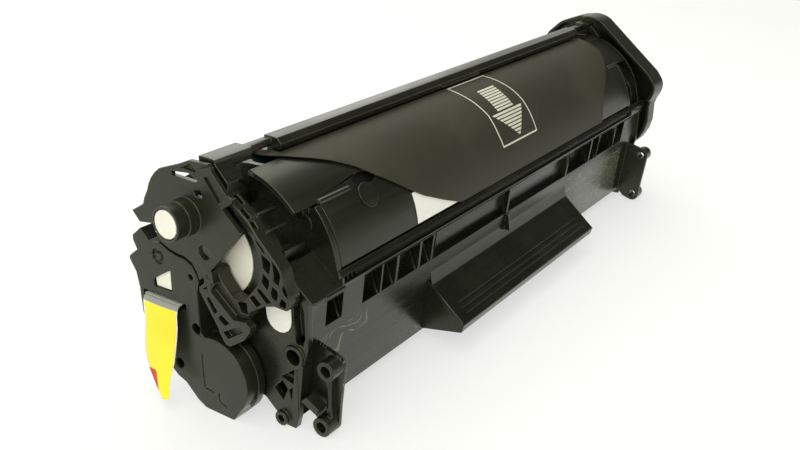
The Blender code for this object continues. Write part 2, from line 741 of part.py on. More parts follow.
def make_bearing_holes(housing):
    """Cuts the holes of the partitions and end walls for shafts, pins, seal and end cap."""
    inner = PARTITION_IN - 0.0010
    outer = PARTITION_OUT + 0.0010
    holes = []
    for side in (-1.0, 1.0):
        ends = (side * inner, side * outer)
        holes.append((circle(DRUM_AXIS, DRUM_HUB_RADIUS + RUNNING_GAP, 32), *ends))
        holes.append((circle(DEVELOPER_AXIS, DEVELOPER_SHAFT_RADIUS + RUNNING_GAP), *ends))
        holes.append((circle(AGITATOR_AXIS, PIN_RADIUS * 2 + RUNNING_GAP), *ends))
        holes.append((circle(CHARGE_AXIS, CHARGE_CORE_RADIUS + RUNNING_GAP), *ends))
    holes.append((circle(IDLER_AXIS, PIN_RADIUS + GAP, 16), inner, outer))
    cut(housing, holes)
    wall = (WALL_IN - 0.0010, WALL_OUT + 0.0010)
    cut(housing, [(circle(SHUTTER_AXIS, PIN_RADIUS + GAP, 16), *wall)])
    step = WALL_OUT - END_CAP_WALL - GAP
    cut(housing, [(circle(END_CAP_AXIS, END_CAP_RADIUS + GAP, 40), -WALL_OUT - 0.0010, -step)])
    cut(housing, [(circle(END_CAP_AXIS, END_CAP_RADIUS - 0.0018, 40), -WALL_OUT - 0.0010, -WALL_IN + 0.0010)])
    slot = rectangle(SEAL_FRONT - 2 * GAP, SEAL_REAR + 2 * GAP, SEAL_HEIGHT - 2 * GAP, SEAL_HEIGHT + FILM + 2 * GAP)
    cut(housing, [(slot, -WALL_OUT - 0.0010, -PARTITION_IN + 0.0010)])


def make_hopper_deck(finishes):
    """The stepped deck that closes the hopper, with the slot that the seal covers."""
    low_top = SEAL_HEIGHT - GAP
    low_foot = low_top - DECK_WALL
    rear = REAR_FACE
    step = HIGH_DECK_REAR
    front = front_face(HIGH_DECK) + SHELL_WALL + GAP
    lip = low_foot + GAP
    outline = [
        (front, HIGH_DECK + GAP),
        (front, HIGH_DECK + DECK_WALL),
        (step, HIGH_DECK + DECK_WALL),
        (step, low_top),
        (rear, low_top),
        (rear, lip),
        (rear - SHELL_WALL - GAP, lip),
        (rear - SHELL_WALL - GAP, low_foot),
        (step - DECK_WALL, low_foot),
        (step - DECK_WALL, HIGH_DECK + GAP),
    ]
    deck = prisms("hopper_deck", [(outline, -BIN_HALF, BIN_HALF)], finishes["housing"])
    slot = rectangle(SEAL_FRONT + 0.0030, SEAL_REAR - 0.0030, low_foot - 0.0010, low_top + 0.0010)
    return cut(deck, [(slot, -DEVELOPER_LENGTH / 2, DEVELOPER_LENGTH / 2)])


def make_seal(finishes):
    """The sealing film over the deck's slot, and the yellow tab that pulls it out at the left."""
    outline = rectangle(SEAL_FRONT, SEAL_REAR, SEAL_HEIGHT, SEAL_HEIGHT + FILM)
    prisms("seal_strip", [(outline, -COVER_OUT - 0.0008, DEVELOPER_LENGTH / 2 + 0.0040)], finishes["film"])


def make_pull_tab(finishes):
    """The yellow tab: a strip that folds down from the slot and bows away from the end cover."""
    top = SEAL_HEIGHT - GAP
    fold = -COVER_OUT - 0.0010
    path = [
        (fold + 0.0006, top),
        (fold - 0.0010, top - 0.0004),
        (fold - 0.0022, top - 0.0030),
        (fold - 0.0026, top - 0.0100),
        (fold - 0.0033, top - 0.0180),
        (fold - 0.0051, top - 0.0260),
        (fold - 0.0080, top - 0.0330),
    ]
    thickness = 0.0004
    outline = strip([(x, z) for x, z in path], thickness)
    builder = bmesh.new()
    rear = SEAL_REAR
    front = SEAL_FRONT
    face = builder.faces.new([builder.verts.new((x, front, z)) for x, z in outline])
    grown = bmesh.ops.extrude_face_region(builder, geom=[face])
    far = [item for item in grown["geom"] if isinstance(item, bmesh.types.BMVert)]
    bmesh.ops.translate(builder, verts=far, vec=(0.0, rear - front, 0.0))
    return add_mesh("pull_tab", builder, finishes["tab"])


def make_agitator(finishes):
    """The stirring shaft with its cranked bar, and the film that sweeps the trough."""
    end = PARTITION_IN - 2 * GAP
    shaft = rod("agitator_shaft", AGITATOR_AXIS, PIN_RADIUS * 2, -PARTITION_OUT - 0.0030, GEAR_OUT + 0.0010, finishes["gear"])
    blade = rectangle(AGITATOR_AXIS[0] - 0.0008, AGITATOR_AXIS[0] + 0.0008, AGITATOR_AXIS[1], AGITATOR_AXIS[1] + 0.0065)
    weld(shaft, [(blade, -end + 0.0040, end - 0.0040)])
    foot = AGITATOR_AXIS[1] + 0.0040
    tip = AGITATOR_AXIS[1] + PADDLE_REACH
    front = AGITATOR_AXIS[0] + 0.0008 + GAP
    film = rectangle(front, front + FILM, foot, tip)
    prisms("agitator_film", [(film, -end + 0.0060, end - 0.0060)], finishes["film"], (0.0, *AGITATOR_AXIS))


# The developer unit


def make_developer_frame(finishes):
    """The frame above the seal that carries the developer roller and the charge roller."""
    foot = SEAL_HEIGHT + FILM + GAP
    top = foot + SHELL_WALL
    rear = arc(SHUTTER_AXIS, REAR_BODY_RADIUS - GAP, -3.0, 20.0, 4)
    floor = rectangle(HIGH_DECK_REAR + 2 * GAP, REAR_FACE - 0.0010, foot, top)
    frame = prisms("developer_frame", [(floor, -BIN_HALF, BIN_HALF)], finishes["housing"])
    wall = strip([(REAR_FACE - 0.0010, foot + 0.0004), *rear], SHELL_WALL)
    doctor_step = rectangle(HIGH_DECK_REAR + 2 * GAP, HIGH_DECK_REAR + 0.0130, foot, foot + 0.0110)
    cheek = [
        (HIGH_DECK_REAR + 2 * GAP, foot),
        (REAR_FACE - 0.0010, foot),
        *arc(SHUTTER_AXIS, REAR_BODY_RADIUS - GAP, -3.0, 44.0, 6),
        (0.0135, 0.0750),
        (0.0120, 0.0640),
        (0.0040, 0.0585),
        (HIGH_DECK_REAR + 2 * GAP, 0.0530),
    ]
    parts = [(wall, -BIN_HALF, BIN_HALF), (doctor_step, -BIN_HALF, BIN_HALF)]
    for side in (-1.0, 1.0):
        parts.append((cheek, side * (BIN_HALF - 0.0022), side * BIN_HALF))
    weld(frame, parts)
    ends = BIN_HALF + 0.0010
    bores = [
        (circle(DRUM_AXIS, DRUM_RADIUS + 0.0010, 40), -ends, ends),
        (circle(DEVELOPER_AXIS, DEVELOPER_SHAFT_RADIUS + RUNNING_GAP), -ends, ends),
    ]
    cut(frame, bores)
    bearing = circle(CHARGE_AXIS, CHARGE_CORE_RADIUS + 0.0011 + GAP, 20)
    cut(frame, [(bearing, -ends, ends)])
    throat = rectangle(SEAL_FRONT + 0.0030, SEAL_REAR - 0.0030, foot - 0.0010, top + 0.0120)
    cut(frame, [(throat, -DEVELOPER_LENGTH / 2, DEVELOPER_LENGTH / 2)])
    return frame


def make_developer_roller(finishes):
    """The developer sleeve, the magnet core inside it and its gear."""
    half = DEVELOPER_LENGTH / 2
    tube("developer_sleeve", DEVELOPER_AXIS, DEVELOPER_RADIUS, DEVELOPER_RADIUS - DEVELOPER_WALL, -half, half, finishes["sleeve"], 32)
    core_end = half - 0.0020
    hub_end = half + 0.0040
    shaft_end = GEAR_OUT + 0.0010
    inner = DEVELOPER_RADIUS - DEVELOPER_WALL - GAP
    reach = DEVELOPER_SHAFT_RADIUS
    left = -PARTITION_OUT - 0.0020
    profile = [
        (left, 0.0),
        (left, reach),
        (-hub_end, reach),
        (-hub_end, inner),
        (-core_end, inner),
        (-core_end, MAGNET_RADIUS),
        (core_end, MAGNET_RADIUS),
        (core_end, inner),
        (hub_end, inner),
        (hub_end, reach),
        (shaft_end, reach),
        (shaft_end, 0.0),
    ]
    turned("magnet_core", DEVELOPER_AXIS, profile, finishes["steel"], 32)


def make_doctor_blade(finishes):
    """The metering blade that levels toner on the developer sleeve, on its steel bracket."""
    seat = SEAL_HEIGHT + FILM + GAP + 0.0110 + GAP
    half = DEVELOPER_LENGTH / 2
    front = HIGH_DECK_REAR + 0.0030
    bracket = rectangle(front, front + 0.0096, seat, seat + 0.0012)
    prisms("doctor_bracket", [(bracket, -half, half)], finishes["steel"])
    tip = on_circle(DEVELOPER_AXIS, DEVELOPER_RADIUS + GAP, 193.0)
    blade = strip([(front + 0.0030, seat + 0.0012 + GAP), (front + 0.0078, seat + 0.0012 + GAP), tip], 0.0010)
    prisms("doctor_blade", [(blade, -half, half)], finishes["rubber"])


def make_charge_roller(finishes):
    """The charge roller, its steel core and its two bearing blocks."""
    half = CHARGE_LENGTH / 2
    core_end = BIN_HALF - 0.0008
    tube("charge_roller", CHARGE_AXIS, CHARGE_RADIUS, CHARGE_CORE_RADIUS + GAP, -half, half, finishes["rubber"], 28)
    rod("charge_core", CHARGE_AXIS, CHARGE_CORE_RADIUS, -core_end, core_end, finishes["steel"])
    outer = CHARGE_CORE_RADIUS + 0.0011
    inner = CHARGE_CORE_RADIUS + RUNNING_GAP
    bearings = []
    for side in (-1.0, 1.0):
        name = "charge_bearing_left" if side < 0 else "charge_bearing_right"
        ends = (side * (BIN_HALF - 0.0022), side * (BIN_HALF - 0.0002))
        bearings.append(tube(name, CHARGE_AXIS, outer, inner, *ends, finishes["white"], 20))
    return bearings


# The drum unit


def make_drum(finishes):
    """The coated drum tube with its left hub and its right gear flange."""
    tube("drum_tube", DRUM_AXIS, DRUM_RADIUS, DRUM_RADIUS - DRUM_WALL, -DRUM_HALF, DRUM_HALF, finishes["drum"], 40)
    plug = DRUM_RADIUS - DRUM_WALL - GAP
    plug_end = DRUM_HALF - 0.0080
    left = -PARTITION_OUT - 0.0040
    hub = [
        (left, 0.0),
        (left, DRUM_HUB_RADIUS),
        (-DRUM_HALF + 0.0006, DRUM_HUB_RADIUS),
        (-DRUM_HALF + 0.0006, plug),
        (-plug_end, plug),
        (-plug_end, 0.0),
    ]
    turned("drum_hub", DRUM_AXIS, hub, finishes["white"], 32)
    flange = [
        (plug_end, 0.0),
        (plug_end, plug),
        (DRUM_HALF - 0.0006, plug),
        (DRUM_HALF - 0.0006, DRUM_HUB_RADIUS),
        (GEAR_OUT, DRUM_HUB_RADIUS),
        (GEAR_OUT, 0.0),
    ]
    gear = turned("drum_gear", DRUM_AXIS, flange, finishes["gear"], 32)
    phase = direction(DRUM_AXIS, DEVELOPER_AXIS)
    weld(gear, [(gear_outline(DRUM_AXIS, DRUM_TEETH, phase), GEAR_IN, GEAR_OUT)])
    cut(gear, [(circle(DRUM_AXIS, DRUM_HUB_RADIUS - 0.0020, 6), GEAR_OUT - 0.0040, GEAR_OUT + 0.0010)])
    return phase


def make_gears(finishes, drum_phase):
    """The developer gear, the idler and the agitator gear, in mesh."""
    phase = tooth_phase(DEVELOPER_AXIS, DEVELOPER_TEETH, DRUM_AXIS, DRUM_TEETH, drum_phase)
    bore = DEVELOPER_SHAFT_RADIUS + GAP
    teeth = gear_outline(DEVELOPER_AXIS, DEVELOPER_TEETH, phase)
    gear = prisms("developer_gear", [(teeth, GEAR_IN, GEAR_OUT)], finishes["gear"], (GEAR_IN, *DEVELOPER_AXIS))
    cut(gear, [(circle(DEVELOPER_AXIS, bore, 24), GEAR_IN - 0.0010, GEAR_OUT + 0.0010)])
    idler_phase = tooth_phase(IDLER_AXIS, IDLER_TEETH, DEVELOPER_AXIS, DEVELOPER_TEETH, phase)
    teeth = gear_outline(IDLER_AXIS, IDLER_TEETH, idler_phase)
    idler = prisms("idler_gear", [(teeth, GEAR_IN, GEAR_OUT)], finishes["gear"], (GEAR_IN, *IDLER_AXIS))
    cut(idler, [(circle(IDLER_AXIS, PIN_RADIUS + RUNNING_GAP, 20), GEAR_IN - 0.0010, GEAR_OUT + 0.0010)])
    web = GEAR_OUT - 0.0014
    recess = circle(IDLER_AXIS, TOOTH_MODULE * IDLER_TEETH / 2 - 0.0030, 32)
    cut(idler, [(recess, web, GEAR_OUT + 0.0010)])
    weld(idler, [(ring_segment(IDLER_AXIS, PIN_RADIUS + RUNNING_GAP, PIN_RADIUS + 0.0016), web - 0.0005, GEAR_OUT)])
    agitator_phase = tooth_phase(AGITATOR_AXIS, AGITATOR_TEETH, IDLER_AXIS, IDLER_TEETH, idler_phase)
    teeth = gear_outline(AGITATOR_AXIS, AGITATOR_TEETH, agitator_phase)
    agitator = prisms("agitator_gear", [(teeth, GEAR_IN, GEAR_OUT)], finishes["gear"], (GEAR_IN, *AGITATOR_AXIS))
    cut(agitator, [(circle(AGITATOR_AXIS, PIN_RADIUS * 2 + GAP, 24), GEAR_IN - 0.0010, GEAR_OUT + 0.0010)])
    rod("idler_pin", IDLER_AXIS, PIN_RADIUS, PARTITION_IN + 0.0004, GEAR_OUT + 0.0008, finishes["steel"], 16)


def ring_segment(centre, inner, outer, steps=20):
    """A ring as one outline, cut through at one side."""
    return arc(centre, outer, 0.0, 359.0, steps) + arc(centre, inner, 359.0, 0.0, steps)


def make_waste_bin(finishes):
    """The bin in front of the drum, whose curved wall is the cartridge's top front face."""
    wall = SHELL_WALL
    inner = CURVE_RADIUS - wall
    foot = HIGH_DECK + DECK_WALL + GAP
    floor_top = foot + wall
    rear = HIGH_DECK_REAR - 0.0030
    upper_outside = arc(SHUTTER_AXIS, CURVE_RADIUS, CURVE_TOP_ANGLE, EAVE_ANGLE, 7)
    upper_inside = arc(SHUTTER_AXIS, inner, EAVE_ANGLE, CURVE_TOP_ANGLE, 7)
    outside = upper_outside + arc(SHUTTER_AXIS, CURVE_RADIUS, EAVE_ANGLE, CURVE_FOOT_ANGLE, 7)[1:]
    inside = arc(SHUTTER_AXIS, inner, CURVE_FOOT_ANGLE - 3.5, EAVE_ANGLE, 7)[:-1] + upper_inside
    toe = (outside[-1][0] + 0.0017, foot)
    outline = outside + [toe, (rear, foot), (rear, floor_top), (inside[0][0], floor_top)] + inside[1:]
    bin_shell = prisms("waste_bin", [(outline, -BIN_HALF, BIN_HALF)], finishes["housing"])
    cheek = outside + [toe, (rear, foot), (rear, 0.0640), (-0.0135, 0.0740), (-0.0135, 0.0840)]
    parts = []
    for side in (-1.0, 1.0):
        parts.append((cheek, side * (BIN_HALF - wall), side * BIN_HALF))
        parts.append((upper_outside + upper_inside, side * (BIN_HALF - 0.0030), side * EAVE_END))
    weld(bin_shell, parts)
    ridge = circle(on_circle(SHUTTER_AXIS, CURVE_RADIUS - 0.0002, EAVE_ANGLE), RIDGE_RADIUS, 10)
    weld(bin_shell, [(ridge, -BIN_HALF, -0.1065), (ridge, 0.1115, BIN_HALF)])
    return smooth(bin_shell)


def make_cleaning_blade(finishes):
    """The steel bracket on the bin floor and the urethane blade that wipes the drum."""
    seat = HIGH_DECK + DECK_WALL + GAP + SHELL_WALL + GAP
    contact = on_circle(DRUM_AXIS, DRUM_RADIUS + GAP, 200.0)
    bend = (HIGH_DECK_REAR - 0.0098, seat)
    lift = direction(bend, contact)
    knee = on_circle(bend, distance(bend, contact) * 0.55, lift)
    bracket = strip([(bend[0] - 0.0075, seat), bend, knee], 0.0012)
    half = BIN_HALF - SHELL_WALL - 0.0020
    prisms("blade_bracket", [(bracket, -half, half)], finishes["steel"])
    start = on_circle(bend, distance(bend, contact) * 0.25, lift)
    start = on_circle(start, 0.0012 + GAP, lift + 90.0)
    end = on_circle(DRUM_AXIS, DRUM_RADIUS + GAP, 193.0)
    blade = strip([start, end], 0.0014)
    prisms("cleaning_blade", [(blade, -half, half)], finishes["blade"])


# The shutter


def sickle_edges():
    """The inner and outer edges of the shutter's arms, seen from the side."""
    inside = [
        (-0.0139, 0.0812),
        (-0.0155, 0.0805),
        (-0.0195, 0.0766),
        (-0.0239, 0.0722),
        (-0.0262, 0.0681),
        (-0.0270, 0.0655),
        (-0.0271, 0.0621),
        (-0.0266, 0.0591),
        (-0.0252, 0.0557),
        (-0.0221, 0.0521),
        (-0.0180, 0.0475),
    ]
    outside = [
        (-0.0206, 0.0440),
        (-0.0238, 0.0461),
        (-0.0278, 0.0486),
        (-0.0323, 0.0500),
        (-0.0372, 0.0498),
        (-0.0381, 0.0504),
        (-0.0390, 0.0535),
        (-0.0387, 0.0556),
        (-0.0368, 0.0593),
        (-0.0360, 0.0632),
        (-0.0342, 0.0655),
        (-0.0309, 0.0688),
        (-0.0266, 0.0731),
        (-0.0227, 0.0778),
        (-0.0145, 0.0842),
    ]
    return inside, outside


def hub_tie():
    """The block that joins an arm's foot to its hub."""
    return [
        (-0.0030, 0.0520),
        (-0.0048, 0.0563),
        (-0.0072, 0.0556),
        (-0.0087, 0.0525),
        (-0.0132, 0.0478),
        (-0.0180, 0.0475),
        (-0.0215, 0.0480),
        (-0.0206, 0.0424),
        (-0.0140, 0.0414),
        (-0.0105, 0.0426),
        (-0.0045, 0.0495),
    ]


def shoulder_outline():
    """The plate from the bar's level down to an arm's top end."""
    return [
        (-0.0090, 0.0951),
        (-0.0152, 0.0886),
        (-0.0145, 0.0842),
        (-0.0139, 0.0812),
        (-0.0122, 0.0820),
        (-0.0126, 0.0880),
        (-0.0070, 0.0937),
    ]


def make_shutter(finishes):
    """The shutter: a top bar and a drum flap between two swinging arms, moulded as one piece."""
    bar = arc(SHUTTER_AXIS, BAR_OUTER_RADIUS, BAR_FRONT_ANGLE - 2.6, BAR_REAR_ANGLE, 5)
    bar += arc(SHUTTER_AXIS, BAR_INNER_RADIUS, BAR_REAR_ANGLE, BAR_FRONT_ANGLE, 4)
    bar += [on_circle(SHUTTER_AXIS, BAR_OUTER_RADIUS - 0.0016, BAR_FRONT_ANGLE + 0.4)]
    shutter = prisms("shutter", [(bar, -BAR_HALF_LENGTH, BAR_HALF_LENGTH)], finishes["shutter"], (0.0, *SHUTTER_AXIS))
    flap = arc(SHUTTER_AXIS, FLAP_OUTER_RADIUS, FLAP_FRONT_ANGLE, FLAP_REAR_ANGLE, 12)
    flap += arc(SHUTTER_AXIS, FLAP_INNER_RADIUS, FLAP_REAR_ANGLE, FLAP_FRONT_ANGLE, 12)
    neck = arc(SHUTTER_AXIS, BAR_INNER_RADIUS + 0.0006, 94.0, 89.0, 2)
    neck += arc(SHUTTER_AXIS, FLAP_INNER_RADIUS + 0.0006, 89.0, 94.0, 2)
    weld(shutter, [(flap, -BAR_HALF_LENGTH, BAR_HALF_LENGTH), (neck, -BAR_HALF_LENGTH, BAR_HALF_LENGTH)])
    make_left_arm(shutter)
    make_right_arm(shutter)
    return smooth(shutter)


def shoulder_block():
    """The section of the rounded blocks beyond the bar's two ends."""
    outer = arc(SHUTTER_AXIS, SHOULDER_RADIUS, 97.0, BAR_REAR_ANGLE - 0.5, 5)
    return outer + arc(SHUTTER_AXIS, BAR_INNER_RADIUS + 0.0004, BAR_REAR_ANGLE - 0.5, 97.0, 4)


def bridge_outline():
    """The section of the thin strips that carry the bar out to the blocks."""
    outer = arc(SHUTTER_AXIS, BAR_OUTER_RADIUS - 0.0008, 92.5, BAR_REAR_ANGLE, 2)
    return outer + arc(SHUTTER_AXIS, BAR_INNER_RADIUS + 0.0008, BAR_REAR_ANGLE, 92.5, 2)


def fin_outline(root):
    """A thin fin that stands out from the arm's outer edge at a point."""
    way = direction(SHUTTER_AXIS, root)
    tip = on_circle(root, 0.0012, way)
    foot = on_circle(root, -0.0006, way)
    return [
        on_circle(tip, FIN / 2, way + 90.0),
        on_circle(foot, FIN / 2, way + 90.0),
        on_circle(foot, FIN / 2, way - 90.0),
        on_circle(tip, FIN / 2, way - 90.0),
    ]


def make_left_arm(shutter):
    """The near arm, a latticed sickle outside the left end wall, with the lever below its hub."""
    outer = -WALL_OUT - ARM_GAP
    face = outer - ARM_THICKNESS
    inside, outside = sickle_edges()
    parts = [(inside + outside, outer, face), (circle(SHUTTER_AXIS, HUB_RADIUS, 20), outer, face), (hub_tie(), outer, face)]
    parts.append((shoulder_outline(), outer, face))
    plate = [(-0.0090, 0.0951), (-0.0152, 0.0886), (-0.0138, 0.0884), (-0.0076, 0.0940)]
    parts.append((plate, outer - 0.0010, outer + 0.0020))
    parts.append((shoulder_block(), face, -SHOULDER_END))
    parts.append((bridge_outline(), -SHOULDER_END - 0.0010, -BAR_HALF_LENGTH + 0.0020))
    for root in ((-0.0227, 0.0778), (-0.0266, 0.0731)):
        parts.append((fin_outline(root), outer - 0.0010, -FIN_END))
    weld(shutter, parts)
    cut(shutter, [(outline, face - 0.0010, outer - ARM_WEB) for outline in arm_pockets()])
    make_lever(shutter, face)
    cut(shutter, [(circle(SHUTTER_AXIS, PIN_RADIUS + RUNNING_GAP, 16), -COVER_OUT - 0.0010, outer + 0.0010)])


def make_lever(shutter, face):
    """Adds the latticed lever below the near hub, with the slotted eye at its end."""
    lever = [
        (-0.0044, 0.0526),
        (-0.0002, 0.0489),
        (-0.0001, 0.0476),
        (-0.0079, 0.0356),
        (-0.0086, 0.0336),
        (-0.0110, 0.0300),
        (-0.0128, 0.0298),
        (-0.0196, 0.0344),
        (-0.0229, 0.0386),
        (-0.0229, 0.0402),
        (-0.0207, 0.0417),
        (-0.0154, 0.0409),
        (-0.0056, 0.0489),
        (-0.0078, 0.0520),
    ]
    weld(shutter, [(lever, -COVER_OUT, -COVER_OUT + LEVER_THICKNESS)])
    windows = [
        [(-0.0017, 0.0486), (-0.0039, 0.0506), (-0.0042, 0.0492)],
        [(-0.0033, 0.0456), (-0.0046, 0.0464), (-0.0081, 0.0420), (-0.0066, 0.0404)],
        [(-0.0080, 0.0393), (-0.0098, 0.0412), (-0.0134, 0.0390), (-0.0112, 0.0374)],
        [(-0.0099, 0.0346), (-0.0120, 0.0326), (-0.0196, 0.0375), (-0.0176, 0.0391)],
    ]
    cut(shutter, [(outline, -COVER_OUT - 0.0010, face) for outline in windows])


def arm_pockets():
    """The pockets of the near arm's lattice, as outlines."""
    return [
        [(-0.0187, 0.0796), (-0.0202, 0.0786), (-0.0252, 0.0737), (-0.0240, 0.0740), (-0.0202, 0.0778)],
        [(-0.0257, 0.0721), (-0.0286, 0.0697), (-0.0298, 0.0678), (-0.0279, 0.0688), (-0.0262, 0.0706)],
        [(-0.0277, 0.0674), (-0.0311, 0.0657), (-0.0315, 0.0648), (-0.0304, 0.0607), (-0.0282, 0.0624), (-0.0279, 0.0661)],
        [(-0.0323, 0.0663), (-0.0337, 0.0648), (-0.0350, 0.0629), (-0.0353, 0.0614), (-0.0344, 0.0578), (-0.0323, 0.0590), (-0.0328, 0.0616)],
        [(-0.0281, 0.0606), (-0.0304, 0.0587), (-0.0303, 0.0576), (-0.0294, 0.0549), (-0.0275, 0.0566), (-0.0273, 0.0578)],
        [(-0.0317, 0.0570), (-0.0336, 0.0560), (-0.0339, 0.0546), (-0.0330, 0.0520), (-0.0312, 0.0530), (-0.0309, 0.0545)],
        [(-0.0258, 0.0548), (-0.0307, 0.0510), (-0.0285, 0.0500), (-0.0247, 0.0537)],
        [(-0.0212, 0.0498), (-0.0230, 0.0514), (-0.0262, 0.0489), (-0.0239, 0.0473)],
        [(-0.0364, 0.0588), (-0.0376, 0.0573), (-0.0380, 0.0555), (-0.0379, 0.0541), (-0.0367, 0.0554), (-0.0359, 0.0570)],
        [(-0.0344, 0.0518), (-0.0356, 0.0538), (-0.0374, 0.0527), (-0.0371, 0.0512), (-0.0363, 0.0507), (-0.0345, 0.0509)],
        [(-0.0196, 0.0473), (-0.0155, 0.0466), (-0.0170, 0.0432), (-0.0198, 0.0434)],
    ]


def far_arm_reach(point):
    """The far arm's outer radius towards a point, held back where the hopper's front wall stands."""
    limit = 0.0322 if point[1] < 0.0650 else 0.0385
    return min(distance(SHUTTER_AXIS, point), limit)


def make_right_arm(shutter):
    """The far arm, a plain sickle in the right-hand well."""
    inner = GEAR_OUT + FAR_ARM_SETBACK
    outer = inner + FAR_ARM_THICKNESS
    inside, outside = sickle_edges()
    trimmed = [on_circle(SHUTTER_AXIS, far_arm_reach(point), direction(SHUTTER_AXIS, point)) for point in outside]
    parts = [(inside + trimmed, inner, outer), (circle(SHUTTER_AXIS, HUB_RADIUS, 20), inner, outer), (hub_tie(), inner, outer)]
    parts.append((shoulder_outline(), inner, outer))
    parts.append((shoulder_block(), SHOULDER_END, outer))
    parts.append((bridge_outline(), BAR_HALF_LENGTH - 0.0020, SHOULDER_END + 0.0010))
    weld(shutter, parts)
    cut(shutter, [(circle(SHUTTER_AXIS, PIN_RADIUS + RUNNING_GAP, 16), inner - 0.0010, outer + 0.0010)])


def make_shutter_pins(finishes):
    """The steel pins that the shutter's two hubs turn on."""
    left = rod("shutter_pin_left", SHUTTER_AXIS, PIN_RADIUS, -COVER_OUT + 0.0004, -WALL_IN + 0.0020, finishes["steel"], 16)
    rod("shutter_pin_right", SHUTTER_AXIS, PIN_RADIUS, GEAR_OUT + 0.0008, WALL_OUT + 0.0020, finishes["steel"], 16)
    return left


# End covers


def upper_cover_outline():
    """The outline of the drum unit's left end plate."""
    return [
        (0.0304, 0.0700),
        (0.0243, 0.0736),
        (0.0232, 0.0764),
        *arc((0.0050, 0.0740), 0.0172, 18.0, 58.0, 4),
        (0.0050, 0.0918),
        (-0.0007, 0.0943),
        (-0.0093, 0.0946),
        (-0.0143, 0.0804),
        (-0.0218, 0.0736),
        (-0.0118, 0.0621),
        (-0.0060, 0.0560),
        (-0.0007, 0.0516),
        (0.0003, 0.0543),
        (0.0021, 0.0571),
        (0.0057, 0.0587),
        (0.0093, 0.0589),
        (0.0129, 0.0596),
        (0.0164, 0.0610),
        (0.0186, 0.0632),
        (0.0190, 0.0676),
        (0.0271, 0.0664),
    ]


def make_upper_cover(finishes):
    """The left end plate of the drum unit, with the guide boss on the drum's axis."""
    cover = prisms("left_cover_upper", [(upper_cover_outline(), -COVER_OUT, -COVER_IN)], finishes["cover"])
    post = -WALL_OUT - GAP
    boss_end = -COVER_OUT - BOSS_HEIGHT
    boss = circle(DRUM_AXIS, BOSS_RADIUS, 36)
    thin = circle(DRUM_AXIS, BOSS_RADIUS - BOSS_STEP, 36)
    rear_post = circle((0.0225, 0.0702), 0.0022, 16)
    step = -COVER_OUT - BOSS_HEIGHT * 0.45
    weld(cover, [(boss, -COVER_IN + 0.0010, step), (thin, -COVER_OUT, boss_end), (circle(DRUM_AXIS, COVER_POST_RADIUS, 24), -COVER_IN, post), (rear_post, -COVER_IN - 0.0010, post)])
    floor = boss_end + 0.0030
    cut(cover, [(circle(DRUM_AXIS, BOSS_DISC_RADIUS + GAP, 32), boss_end - 0.0010, floor)])
    through = (-COVER_OUT - 0.0010, -COVER_IN + 0.0010)
    cut(cover, [(circle(SHUTTER_AXIS, PIN_RADIUS + GAP, 16), *through)])
    square = [(-0.0018, 0.0842), (-0.0050, 0.0846), (-0.0056, 0.0824), (-0.0026, 0.0822)]
    slot = [(0.0080, 0.0890), (0.0000, 0.0898), (-0.0040, 0.0880), (-0.0030, 0.0872), (0.0080, 0.0876)]
    cut(cover, [(square, *through), (circle((-0.0043, 0.0627), 0.0027, 20), *through), (slot, *through)])
    prisms("boss_disc", [(circle(DRUM_AXIS, BOSS_DISC_RADIUS, 32), boss_end, floor - GAP)], finishes["white"], (boss_end, *DRUM_AXIS))
    return smooth(cover)


def lower_cover_outline():
    """The outline of the hopper's left end cover, with the round lobe at its foot."""
    seam_gap = 0.0006
    return [
        (0.0275, 0.0646 - seam_gap),
        (0.0318, 0.0604),
        (0.0321, 0.0586),
        (0.0304, 0.0550),
        (0.0346, 0.0518),
        (COVER_REAR, 0.0504),
        (0.0325, 0.0464),
        (0.0314, 0.0400),
        (0.0311, 0.0300),
        (0.0270, 0.0190),
        (0.0179, 0.0107),
        (0.0154, 0.0086),
        (0.0114, 0.0071),
        (0.0057, 0.0018),
        (0.0021, 0.0),
        (-0.0121, 0.0),
        *arc(AGITATOR_AXIS, LOBE_RADIUS, 226.0, 73.0, 14),
        (0.0011, 0.0307),
        (0.0011, 0.0464),
        (-0.0007 + seam_gap, 0.0507),
        (0.0003 + seam_gap, 0.0539 - seam_gap),
        (0.0021 + seam_gap, 0.0566 - seam_gap),
        (0.0057, 0.0582 - seam_gap),
        (0.0093, 0.0584 - seam_gap),
        (0.0129, 0.0591 - seam_gap),
        (0.0164, 0.0605 - seam_gap),
        (0.0186, 0.0612 - seam_gap),
        (0.0236, 0.0606 - seam_gap),
    ]


def inset_outline(outline, depth):
    """An outline moved inwards by a depth, corner by corner."""
    area = sum(a[0] * b[1] - b[0] * a[1] for a, b in zip(outline, outline[1:] + outline[:1]))
    side = 90.0 if area > 0 else -90.0
    result = []
    count = len(outline)
    for i, point in enumerate(outline):
        before = direction(outline[i - 1], point)
        after = direction(point, outline[(i + 1) % count])
        turn = (after - before + 180.0) % 360.0 - 180.0
        reach = depth / max(math.cos(math.radians(turn / 2)), 0.5)
        result.append(on_circle(point, reach, before + turn / 2 + side))
    return result


